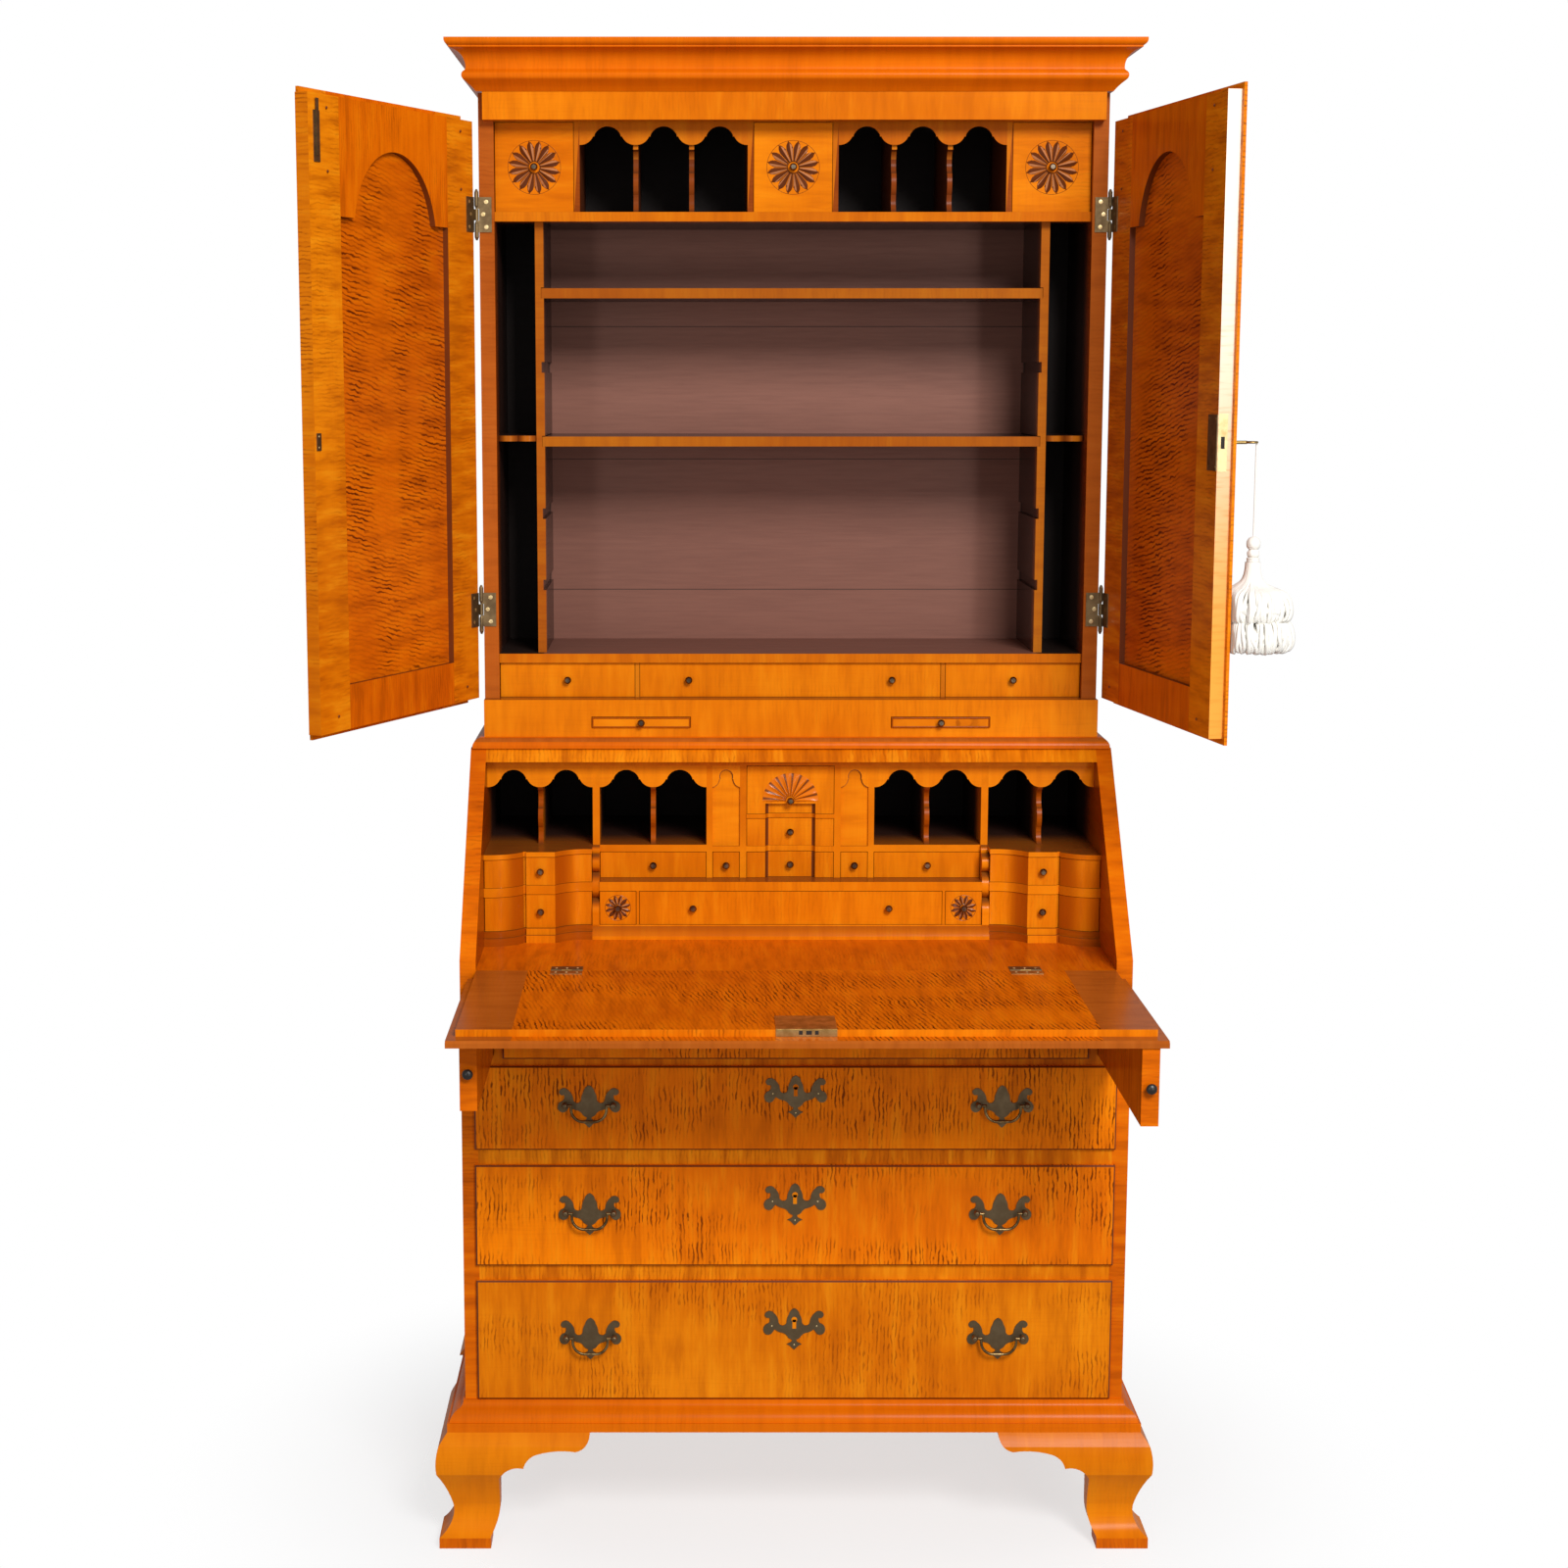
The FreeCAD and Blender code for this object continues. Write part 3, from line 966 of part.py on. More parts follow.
def right_door_fittings():
    """Right door's hinge leaves and lock, the key in it, and the tassel that hangs from the key."""
    y = f"-({door_back})"
    lock_x = f"pin_out+{door_wide}-lock_wide"
    plate_piece = board(lock_x, y, f"{lock_at}-lock_tall/2", "lock_wide", "leaf_thick", "lock_tall")
    node("right_door_brasses", [mirrored(p) for p in door_leaves() + [plate_piece]], RIGHT_PLACE)
    outer = f"(-({door_back})-door_thick-seat_gap)"
    key_x = val(f"pin_out+{door_wide}-lock_wide*0.55")
    shank = val("key_shank")
    tip = val(outer)
    ring, wire = val("bow_r"), val("key_r")
    stem = doc.addObject("Part::Cylinder", "Stem")
    stem.Placement = FreeCAD.Placement(V(), FreeCAD.Rotation(V(1, 0, 0), 90))
    bind(stem, Radius="key_r", Height="key_shank+0.3*key_r", Base_x=key_x, Base_y=outer, Base_z=lock_at)
    bow = doc.addObject("Part::Torus", "Bow")
    bind(bow, Radius1="bow_r", Radius2="0.7*key_r", Base_x=key_x, Base_y=f"{outer}-key_shank-bow_r",
         Base_z=lock_at)
    node("door_key", [mirrored(combine("Fuse", stem, bow))], RIGHT_PLACE)
    hang = tip - shank - 2 * ring
    top = val(lock_at) - 0.7 * wire - 0.3
    cord = doc.addObject("Part::Cylinder", "Cord")
    bind(cord, Radius="cord_r", Height="cord_long", Base_x=key_x, Base_y=hang, Base_z=f"{top}-cord_long")
    node("tassel_cord", [mirrored(cord)], RIGHT_PLACE)
    r, long, z = val("tassel_r"), val("tassel_long"), top - val("cord_long")
    body = turned((0, 0), (0.06 * r, 0), ((0.3 * r, -0.02 * long), (0.36 * r, -0.1 * long)),
                  ((0.3 * r, -0.18 * long), (0.2 * r, -0.2 * long)),
                  (0.3 * r, -0.3 * long), (0.32 * r, -0.42 * long), ((0.7 * r, -0.46 * long),
                                                                     (0.9 * r, -0.6 * long)),
                  (0.75 * r, -0.66 * long), ((0.95 * r, -0.72 * long), (r, -0.85 * long)), (0.9 * r,
                                                                                            -long), (0,
                                                                                                     -long))
    bind(body, Base_x=key_x, Base_y=hang, Base_z=z)
    node("tassel", [mirrored(body)], RIGHT_PLACE)


def build():
    """Make every sub-part in order."""
    desk_sides()
    desk_boards()
    back_boards()
    case_mouldings()
    bracket_feet()
    gallery_case()
    gallery_valances()
    gallery_dividers()
    gallery_drawers()
    top_half = f"({inner}-loper_thick-2*running_gap-loper_cheek)"
    for label, half_wide, z, high in (("top", top_half, z_loper, "loper_high"),
                                      ("upper", inner, z_upper, "upper_open"),
                                      ("middle", inner, z_middle, "middle_open"), ("lower", inner, z_lower,
                                                                                   "lower_open")):
        long_drawer(f"{label}_drawer", half_wide, z, high, "-running_gap" if label == "top" else "drawer_lip")
        level = f"({z}+{high}/2)"
        drawer_brasses(f"{label}_drawer_brasses", level)
        bails(f"{label}_drawer_bails", level)
    loper("left_loper", "-", "left_loper_out")
    loper("right_loper", "", "right_loper_out")
    fall_board()
    fall_brasses()
    bookcase_case()
    cornice()
    bookcase_uprights()
    bookcase_pigeonholes()
    bookcase_drawers()
    door("left_door", LEFT_PLACE, False, "-lap_wide-0.5")
    door("right_door", RIGHT_PLACE, True, "lap_wide-0.5")
    hinge_leaves()
    left_door_fittings()
    right_door_fittings()


build()
doc.recompute()
failed = [o.Name for o in doc.Objects if "Invalid" in o.State or "Error" in o.State]
if failed:
    raise RuntimeError(f"failed objects: {failed}")
for group in NODES:
    if group.Shape.isNull() or not group.Shape.isValid():
        raise RuntimeError(f"{group.Label} has no valid shape")
os.makedirs("parts", exist_ok=True)
for group in NODES:
    group.Shape.exportStep(f"parts/{group.Label}.step")
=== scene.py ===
"""Looks of a tiger-maple bureau bookcase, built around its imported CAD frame."""
import logging
import math
import random
from collections.abc import Iterable
from dataclasses import dataclass, field
from enum import Enum

import bmesh
import bpy
from mathutils import Matrix, Vector


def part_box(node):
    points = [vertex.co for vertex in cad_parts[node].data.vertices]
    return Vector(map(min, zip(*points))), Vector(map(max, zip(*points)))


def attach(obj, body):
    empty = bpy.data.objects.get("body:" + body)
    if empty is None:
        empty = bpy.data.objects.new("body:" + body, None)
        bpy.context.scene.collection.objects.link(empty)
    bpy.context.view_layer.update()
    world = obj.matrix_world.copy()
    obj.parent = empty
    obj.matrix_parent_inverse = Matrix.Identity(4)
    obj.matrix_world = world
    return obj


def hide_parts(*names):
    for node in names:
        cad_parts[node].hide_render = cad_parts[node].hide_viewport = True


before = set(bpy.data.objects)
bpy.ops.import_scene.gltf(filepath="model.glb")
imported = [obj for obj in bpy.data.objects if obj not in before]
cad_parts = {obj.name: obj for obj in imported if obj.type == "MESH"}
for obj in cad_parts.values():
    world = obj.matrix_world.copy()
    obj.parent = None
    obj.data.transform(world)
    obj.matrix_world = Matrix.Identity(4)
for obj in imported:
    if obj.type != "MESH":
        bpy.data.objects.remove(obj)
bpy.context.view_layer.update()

log = logging.getLogger("bureau")
NODES: dict[str, bpy.types.Object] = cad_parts
Colour = tuple[float, float, float]
Place = tuple[float, float, float]
MM = 0.001
FRONT = Vector((0.0, -1.0, 0.0))
UP = Vector((0.0, 0.0, 1.0))


class Grain(Enum):
    """Axis that a board's fibres run along."""

    ALONG_X = 0
    ALONG_Y = 1
    ALONG_Z = 2

    @property
    def turn(self) -> Place:
        """Turn that brings the fibres to X."""
        quarter = math.pi / 2
        return ((0.0, 0.0, 0.0), (0.0, 0.0, -quarter), (0.0, quarter, 0.0))[self.value]


class Wire:
    """A shader socket that takes part in Python sums."""

    def __init__(self, graph: "Graph", socket: bpy.types.NodeSocket) -> None:
        """Keep the graph that owns the socket."""
        self.graph = graph
        self.socket = socket

    def _sum(self, operation: str, *values: object) -> "Wire":
        """Add one Math node over the values given."""
        return self.graph.node("ShaderNodeMath", {"operation": operation}, dict(enumerate(values)))[0]

    def __add__(self, other: object) -> "Wire":
        """Sum of two values."""
        return self._sum("ADD", self, other)

    def __sub__(self, other: object) -> "Wire":
        """Difference of two values."""
        return self._sum("SUBTRACT", self, other)

    def __rsub__(self, other: object) -> "Wire":
        """Difference with a plain number first."""
        return self._sum("SUBTRACT", other, self)

    def __mul__(self, other: object) -> "Wire":
        """Product of two values."""
        return self._sum("MULTIPLY", self, other)

    def repeat(self, length: float) -> "Wire":
        """What is left over after whole lengths are taken away."""
        return self._sum("FLOORED_MODULO", self, length)

    def root(self) -> "Wire":
        """Square root of the value."""
        return self._sum("SQRT", self)

    def wave(self) -> "Wire":
        """Sine of the value."""
        return self._sum("SINE", self)

    def step(self, low: float, high: float) -> "Wire":
        """Smooth rise from 0 at low to 1 at high.

        Args:
            low: Value where the rise starts.
            high: Value where the rise ends; below low, the rise is a fall.

        Returns:
            The eased value.
        """
        settings = {"interpolation_type": "SMOOTHSTEP"}
        values = {"Value": self, "From Min": low, "From Max": high}
        return self.graph.node("ShaderNodeMapRange", settings, values)[0]


class Graph:
    """Node tree of one material, with a Principled shader at its end."""

    def __init__(self, name: str) -> None:
        """Start an empty material.

        Args:
            name: Name of the material.
        """
        self.material = bpy.data.materials.new(name)
        self.material.use_nodes = True
        self.tree = self.material.node_tree
        self.shader = self.tree.nodes["Principled BSDF"]

    def node(self, kind: str, settings: dict[str, object], values: dict[object, object]) -> list[Wire]:
        """Add a node.

        Args:
            kind: Blender's name for the type of node.
            settings: Properties that are set before the sockets.
            values: Number, colour or wire for each named or numbered input.

        Returns:
            A wire for each output in use.
        """
        made = self.tree.nodes.new(kind)
        for key, value in settings.items():
            setattr(made, key, value)
        for key, value in values.items():
            self.plug(made.inputs[key], value)
        return [Wire(self, socket) for socket in made.outputs if socket.enabled]

    def plug(self, socket: bpy.types.NodeSocket, value: object) -> None:
        """Link a wire to a socket, or set the socket to a plain value."""
        if isinstance(value, Wire):
            self.tree.links.new(value.socket, socket)
        elif isinstance(value, tuple) and len(value) == 3 and socket.type == "RGBA":
            socket.default_value = (*value, 1.0)
        else:
            socket.default_value = value

    def place(self) -> Wire:
        """Object coordinates."""
        return self.node("ShaderNodeTexCoord", {}, {})[3]

    def facing(self) -> list[Wire]:
        """The three parts of the surface's normal, in object space."""
        return self.split(self.node("ShaderNodeTexCoord", {}, {})[1])

    def mapped(self, vector: Wire, **sockets: Place) -> Wire:
        """A vector that is moved, turned or scaled; the keywords are the Mapping node's sockets."""
        return self.node("ShaderNodeMapping", {}, {"Vector": vector, **sockets})[0]

    def split(self, vector: Wire) -> list[Wire]:
        """The three parts of a vector."""
        return self.node("ShaderNodeSeparateXYZ", {}, {0: vector})

    def joined(self, x: object, y: object, z: object) -> Wire:
        """A vector from three values."""
        return self.node("ShaderNodeCombineXYZ", {}, {0: x, 1: y, 2: z})[0]

    def noise(self, vector: Wire, scale: float, detail: float = 2.0, rough: float = 0.5) -> Wire:
        """Smooth noise between 0 and 1.

        Args:
            vector: Where the noise is read.
            scale: Features per metre.
            detail: Number of finer layers.
            rough: Weight of the finer layers.

        Returns:
            The noise value.
        """
        values = {"Vector": vector, "Scale": scale, "Detail": detail, "Roughness": rough}
        return self.node("ShaderNodeTexNoise", {}, values)[0]

    def drawn_noise(self, vector: Wire, stretch: Place, *settings: float) -> Wire:
        """Noise on a vector that is scaled first; the settings are those of noise."""
        return self.noise(self.mapped(vector, Scale=stretch), *settings)

    def blend(self, share: object, first: object, second: object) -> Wire:
        """Colour between two colours."""
        values = {0: share, 6: first, 7: second}
        return self.node("ShaderNodeMix", {"data_type": "RGBA"}, values)[0]

    def bump(self, height: Wire, strength: float, distance: float) -> Wire:
        """Normal that stands for a height."""
        values = {"Height": height, "Strength": strength, "Distance": distance}
        return self.node("ShaderNodeBump", {}, values)[0]

    def surface(self, **sockets: object) -> bpy.types.Material:
        """Set the shader's sockets; an underscore in a name stands for a space.

        Returns:
            The finished material.
        """
        for key, value in sockets.items():
            self.plug(self.shader.inputs[key.replace("_", " ")], value)
        return self.material


@dataclass(frozen=True)
class TigerMaple:
    """Curly maple under an amber polish: bands of curl across a fine long grain."""

    light: Colour = (0.80, 0.225, 0.003)
    middle: Colour = (0.64, 0.145, 0.001)
    curl: Colour = (0.33, 0.052, 0.001)
    streak: Colour = (0.13, 0.020, 0.001)
    ripple: float = 5.6 * MM
    flame_pitch: float = 62.0
    flame_draw: float = 0.16
    gleam: Colour = (0.92, 0.33, 0.008)
    strength: float = 0.6
    rippled: float = 0.6
    dash: float = 0.26
    cord: float = 0.5
    slant: float = 0.0
    roughness: float = 0.24
    # Painted shade inside the case: upward faces and faces further back are darkened.
    inner_shade: bool = False
    top_shade: Colour = (0.11, 0.034, 0.010)
    rear_shade: Colour = (0.042, 0.017, 0.012)
    rear_shade_depth: float = 85 * MM
    # Painted shade on faces turned away from the front, such as the sides of curved fronts.
    slope_shade: float = 0.0

    def figure(self, graph: Graph, place: Wire) -> tuple[Wire, Wire, Wire]:
        """Lay out the curl of the wood.

        Args:
            graph: Node tree of the material.
            place: Coordinates with the fibres along X.

        Returns:
            Fine ripples, the breaks that make dashes of them, and broad flames.
        """
        along, across, up = graph.split(place)
        sway = graph.drawn_noise(place, (1.0, 0.4, 0.4), 24.0) * 14.0
        jitter = graph.drawn_noise(place, (1.0, 0.6, 0.6), 110.0) * 7.0
        phase = (along + across * self.slant) * (math.tau / self.ripple)
        ripples = (phase + sway + jitter).wave().step(-0.1, 0.95)
        broken = graph.joined(along, across * self.dash, up * self.dash)
        dashes = graph.noise(broken, 170.0).step(0.44, 0.58)
        drawn = graph.joined(along, across * self.flame_draw, up * self.flame_draw)
        return ripples, dashes, graph.noise(drawn, self.flame_pitch, 3.0, 0.6)

    def make(self, name: str, grain: Grain, shift: float) -> bpy.types.Material:
        """Make the finish for one direction of grain.

        Args:
            name: Name of the material.
            grain: Axis of the fibres.
            shift: Offset that gives another board its own figure.

        Returns:
            The material.
        """
        graph = Graph(name)
        offset = (shift, 0.37 * shift, 0.61 * shift)
        place = graph.mapped(graph.place(), Location=offset, Rotation=grain.turn)
        ripples, dashes, flames = self.figure(graph, place)
        patches = graph.drawn_noise(place, (0.7, 1.7, 1.7), 6.5, 2.0, 0.6).step(0.40, 0.64)
        fibre = graph.drawn_noise(place, (0.03, 1.0, 1.0), 420.0, 3.0, 0.6)
        cloud = graph.drawn_noise(place, (0.35, 1.0, 1.0), 5.0, 3.0)
        tone = graph.blend(cloud.step(0.3, 0.7), self.light, self.middle)
        tone = graph.blend(fibre.step(0.45, 0.75) * 0.28, tone, self.middle)
        tone = graph.blend(flames.step(0.50, 0.30) * (0.55 * self.strength), tone, self.gleam)
        tone = graph.blend(flames.step(0.46, 0.70) * (0.62 * self.strength), tone, self.curl)
        tone = graph.blend(ripples * (patches * 0.7 + 0.3) * (self.cord * self.rippled), tone, self.curl)
        tone = graph.blend(ripples * dashes * patches * (0.9 * self.rippled), tone, self.streak)
        # Painted shade: faces turned part way from the front darken towards the curl colour, in place of the
        # shading of curved fronts.
        if self.slope_shade:
            x, y, z = graph.facing()
            slope = (x * x + z * z) * (y * y) * 4.0
            tone = graph.blend(slope.step(0.25, 1.0) * self.slope_shade, tone, self.curl)
        # Painted shade: upward faces darken, and faces fade to near black the further back they lie.
        if self.inner_shade:
            depth = graph.split(graph.place())[1]
            tone = graph.blend(graph.facing()[2].step(0.5, 0.9) * 0.75, tone, self.top_shade)
            tone = graph.blend(depth.step(0.0, self.rear_shade_depth), tone, self.rear_shade)
        rough = fibre * 0.10 + (self.roughness - 0.05)
        return graph.surface(Base_Color=tone, Roughness=rough, Normal=graph.bump(fibre, 0.05, 1 * MM),
                             Coat_Weight=0.0, Specular_IOR_Level=0.07)


@dataclass(frozen=True)
class BackBoards:
    """Dull brown boards behind the shelves, with joints between them, and painted shade: darker towards the
    bottom, and near black where they are seen through the pigeonholes, side bays and desk.
    """

    light: Colour = (0.275, 0.112, 0.076)
    dark: Colour = (0.225, 0.089, 0.061)
    lower: Colour = (0.11, 0.042, 0.029)
    joint: Colour = (0.02, 0.009, 0.006)
    hole_shade: Colour = (0.022, 0.011, 0.008)
    board: float = 196 * MM
    first: float = 116 * MM
    joint_wide: tuple[float, float] = (1.6 * MM, 0.8 * MM)
    fading: tuple[float, float] = (1.75, 1.25)
    bay_side: tuple[float, float] = (0.127, 0.124)
    bay_top: tuple[float, float] = (1.832, 1.826)
    bay_foot: tuple[float, float] = (1.19, 1.20)

    def make(self, name: str) -> bpy.types.Material:
        """Make the finish.

        Args:
            name: Name of the material.

        Returns:
            The material.
        """
        graph = Graph(name)
        place = graph.place()
        side, _, height = graph.split(place)
        fibre = graph.drawn_noise(place, (0.06, 1.0, 1.0), 190.0, 4.0, 0.65)
        cloud = graph.drawn_noise(place, (0.4, 1.0, 1.4), 6.0, 3.0)
        tone = graph.blend((fibre * 0.6 + cloud * 0.4).step(0.35, 0.68), self.light, self.dark)
        # Painted shade: the boards darken towards the bottom.
        tone = graph.blend(height.step(*self.fading) * 0.32, tone, self.lower)
        seam = (height - self.first).repeat(self.board).step(*self.joint_wide)
        tone = graph.blend(seam * 0.8, tone, self.joint)
        # Painted shade: outside the main bay the inner faces go near black, as they lie in shadow; the main
        # bay and the outer back keep the wood.
        bay = (side * side).step(*self.bay_side) * height.step(*self.bay_top) * height.step(*self.bay_foot)
        rear = graph.facing()[1].step(0.0, 0.5)
        tone = graph.blend(bay + (1.0 - bay) * rear, self.hole_shade, tone)
        relief = graph.bump(fibre - seam, 0.12, 1 * MM)
        return graph.surface(Base_Color=tone, Roughness=fibre * 0.15 + 0.42, Normal=relief,
                             Specular_IOR_Level=0.25)


@dataclass(frozen=True)
class AgedBrass:
    """Brass gone brown in the hollows and rubbed bright on top."""

    bright: Colour
    brown: Colour
    wear: float
    roughness: float = 0.34
    spread: float = 0.18

    def make(self, name: str) -> bpy.types.Material:
        """Make the finish.

        Args:
            name: Name of the material.

        Returns:
            The material.
        """
        graph = Graph(name)
        place = graph.place()
        cloud = graph.noise(place, 70.0, 4.0, 0.6)
        pits = graph.noise(place, 900.0, 2.0)
        gone = cloud.step(self.wear - self.spread, self.wear + self.spread)
        tone = graph.blend(gone, self.bright, self.brown)
        rough = cloud * 0.22 + (self.roughness - 0.08)
        relief = graph.bump(pits, 0.12, 0.4 * MM)
        return graph.surface(Base_Color=tone, Metallic=1.0, Roughness=rough, Normal=relief)


@dataclass(frozen=True)
class CreamYarn:
    """Twisted off-white yarn."""

    light: Colour = (0.95, 0.93, 0.88)
    shade: Colour = (0.90, 0.86, 0.78)
    ply_pitch: float = 4200.0
    ply_lean: float = 0.6

    def make(self, name: str) -> bpy.types.Material:
        """Make the finish.

        Args:
            name: Name of the material.

        Returns:
            The material.
        """
        graph = Graph(name)
        place = graph.place()
        x, y, z = graph.split(place)
        ply = ((z + (x + y) * self.ply_lean) * self.ply_pitch).wave()
        fuzz = graph.noise(place, 1500.0, 2.0)
        tone = graph.blend((ply * 0.25 + fuzz).step(0.2, 0.9), self.shade, self.light)
        relief = graph.bump(ply + fuzz, 0.35, 0.6 * MM)
        return graph.surface(Base_Color=tone, Roughness=0.9, Normal=relief, Sheen_Weight=0.35)


@dataclass(frozen=True)
class CarvedMaple:
    """Maple stained brown on the rosettes' rays, with a painted highlight on one flank of each ray and
    painted shade on one flank of each of the fan's hollows, read from the mesh's own depth attribute.
    """

    ground: Colour = (0.72, 0.175, 0.003)
    flank: Colour = (0.12, 0.028, 0.006)
    ridge: Colour = (0.52, 0.20, 0.075)
    attribute: str = "depth"

    def make(self, name: str) -> bpy.types.Material:
        """Make the finish.

        Args:
            name: Name of the material.

        Returns:
            The material.
        """
        graph = Graph(name)
        depth = graph.node("ShaderNodeAttribute", {"attribute_name": self.attribute}, {})[2]
        fibre = graph.drawn_noise(graph.place(), (0.1, 1.0, 1.0), 500.0, 3.0)
        tone = graph.blend(depth.step(0.0, 0.25), self.ground, self.flank)
        # Painted highlight: marks near 1 take the light colour.
        tone = graph.blend((depth + (fibre - 0.5) * 0.2).step(0.72, 1.0), tone, self.ridge)
        return graph.surface(Base_Color=tone, Roughness=fibre * 0.1 + 0.18, Specular_IOR_Level=0.25)


@dataclass(frozen=True)
class PlainFinish:
    """A faintly mottled surface of one tone."""

    tone: Colour
    roughness: float = 0.5
    mottle: float = 0.06

    def make(self, name: str) -> bpy.types.Material:
        """Make the finish.

        Args:
            name: Name of the material.

        Returns:
            The material.
        """
        graph = Graph(name)
        cloud = graph.noise(graph.place(), 3.0, 3.0)
        second = tuple(part * (1.0 - self.mottle) for part in self.tone)
        return graph.surface(Base_Color=graph.blend(cloud, self.tone, second), Roughness=self.roughness)


@dataclass(frozen=True)
class BareEdge:
    """Unpolished maple in a door's rebate, paler towards the top."""

    high: Colour = (0.95, 0.82, 0.68)
    low: Colour = (0.90, 0.36, 0.05)
    levels: tuple[float, float] = (1.25, 1.80)
    rubbed: Colour = (0.70, 0.19, 0.015)
    rubbed_levels: tuple[float, float] = (1.9, 1.5)

    def make(self, name: str) -> bpy.types.Material:
        """Make the finish.

        Args:
            name: Name of the material.

        Returns:
            The material.
        """
        graph = Graph(name)
        place = graph.place()
        height = graph.split(place)[2]
        streaks = graph.drawn_noise(place, (0.1, 0.1, 1.0), 220.0, 3.0, 0.6)
        tone = graph.blend(height.step(*self.levels), self.low, self.high)
        share = streaks.step(0.45, 0.8) * height.step(*self.rubbed_levels) * 0.5
        tone = graph.blend(share, tone, self.rubbed)
        return graph.surface(Base_Color=tone, Roughness=0.4, Specular_IOR_Level=0.1)


@dataclass(frozen=True)
class PaleFloor:
    """White floor that thins out to nothing away from the object."""

    tone: Colour = (0.95, 0.95, 0.95)
    near: float = 0.34
    far: float = 0.95
    weight: float = 0.35

    def make(self, name: str) -> bpy.types.Material:
        """Make the finish.

        Args:
            name: Name of the material.

        Returns:
            The material.
        """
        graph = Graph(name)
        x, y, _ = graph.split(graph.place())
        away = (x * x + y * y).root()
        cover = away.step(self.far, self.near) * self.weight
        return graph.surface(Base_Color=self.tone, Roughness=0.7, Alpha=cover)


def linked(name: str, data: bpy.types.ID) -> bpy.types.Object:
    """Make an object of some data and put it in the scene."""
    made = bpy.data.objects.new(name, data)
    bpy.context.scene.collection.objects.link(made)
    return made


def new_piece(name: str, shape: bmesh.types.BMesh, material: bpy.types.Material, body: str,
              smooth: bool = True) -> bpy.types.Object:
    """Turn a bmesh into a piece that rides on a body.

    Args:
        name: Name of the piece.
        shape: The mesh; it is freed.
        material: Its finish.
        body: CAD body that carries it.
        smooth: Whether its faces are shaded smooth.

    Returns:
        The new object.
    """
    mesh = bpy.data.meshes.new(name)
    for face in shape.faces:
        face.smooth = smooth
    shape.to_mesh(mesh)
    shape.free()
    mesh.materials.append(material)
    piece = linked(name, mesh)
    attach(piece, body)
    log.info("%s rides on %s", name, body)
    return piece


def solids_of(mesh: bpy.types.Mesh) -> list[list[int]]:
    """Sort a CAD mesh's triangles into its closed solids, which follow each other in the mesh.

    Args:
        mesh: Mesh of loose triangles.

    Returns:
        Polygon indices of each solid.
    """
    spots = [tuple(round(c * 1e6) for c in v.co) for v in mesh.vertices]
    groups: list[list[int]] = []
    current: list[int] = []
    unmatched: dict[tuple, int] = {}
    for poly in mesh.polygons:
        ring = [spots[i] for i in poly.vertices]
        for a, b in zip(ring, ring[1:] + ring[:1]):
            if a == b:
                continue
            if unmatched.get((b, a), 0):
                unmatched[(b, a)] -= 1
                if not unmatched[(b, a)]:
                    del unmatched[(b, a)]
            else:
                unmatched[(a, b)] = unmatched.get((a, b), 0) + 1
        current.append(poly.index)
        if not unmatched:
            groups.append(current)
            current = []
    if current:
        groups.append(current)
    return groups


def extent(mesh: bpy.types.Mesh, polygons: Iterable[int]) -> tuple[Vector, Vector]:
    """Lowest and highest corner of some polygons."""
    points = [mesh.vertices[i].co for p in polygons for i in mesh.polygons[p].vertices]
    low = Vector(min(p[k] for p in points) for k in range(3))
    high = Vector(max(p[k] for p in points) for k in range(3))
    return low, high


class Tone(Enum):
    """Kinds of maple."""

    AMBER = 0
    FIGURED = 1
    QUIET = 2
    RUSSET = 3
    QUIET_RUSSET = 4
    MOULDED = 5
    INSIDE = 6
    SHADED = 7
    FLAMED = 8
    STILE = 9
    PLAIN = 10


PLAIN_TONES = (Tone.AMBER, Tone.FIGURED, Tone.QUIET)
RUSSET_NODES = ("fall_board", "desk_sides", "left_loper", "right_loper")
DOOR_PANEL = 4
WRITING_BED = 12


@dataclass(frozen=True)
class Hang:
    """A door as it stands open on its pins."""

    side: int
    angle: float
    pin: tuple[float, float] = (442.1 * MM, 9 * MM)

    def turned(self, x: float, y: float) -> Vector:
        """A direction of the closed door, turned with the door; x runs from the pin to the free edge."""
        return Matrix.Rotation(self.side * self.angle, 3, "Z") @ Vector((-self.side * x, y, 0.0))

    @property
    def foot(self) -> Vector:
        """The pin's place on the plan."""
        return Vector((self.side * self.pin[0], self.pin[1], 0.0))

    @property
    def free_way(self) -> Vector:
        """Direction from the pin to the free edge."""
        return self.turned(1.0, 0.0)

    @property
    def inward(self) -> Vector:
        """Direction that the door's inner face looks in."""
        return self.turned(0.0, 1.0)

    def across(self, spot: Vector) -> float:
        """Distance of a point from the pin, along the door."""
        return (spot - self.foot).dot(self.free_way)

    def inset(self, spot: Vector) -> float:
        """Distance of a point from the pin's plane, towards the inside."""
        return (spot - self.foot).dot(self.inward)

    def point(self, x: float, y: float, z: float) -> Vector:
        """A point of the door.

        Args:
            x: Distance from the pin towards the free edge.
            y: Distance from the pin's plane, towards the inside.
            z: Height.

        Returns:
            The point in the shared frame.
        """
        return self.foot + self.turned(x, y) + Vector((0.0, 0.0, z))


HANGING = {"left_door": Hang(-1, math.radians(113.0)), "right_door": Hang(1, math.radians(99.2))}
LIPPED = ("top_drawer", "upper_drawer", "middle_drawer", "lower_drawer")
PIGEON_NODES = ("gallery_valances", "gallery_dividers", "bookcase_pigeonholes")
INSIDE_NODES = ("gallery_case", "gallery_dividers", "bookcase_pigeonholes", "bookcase_case",
                "bookcase_shelves")


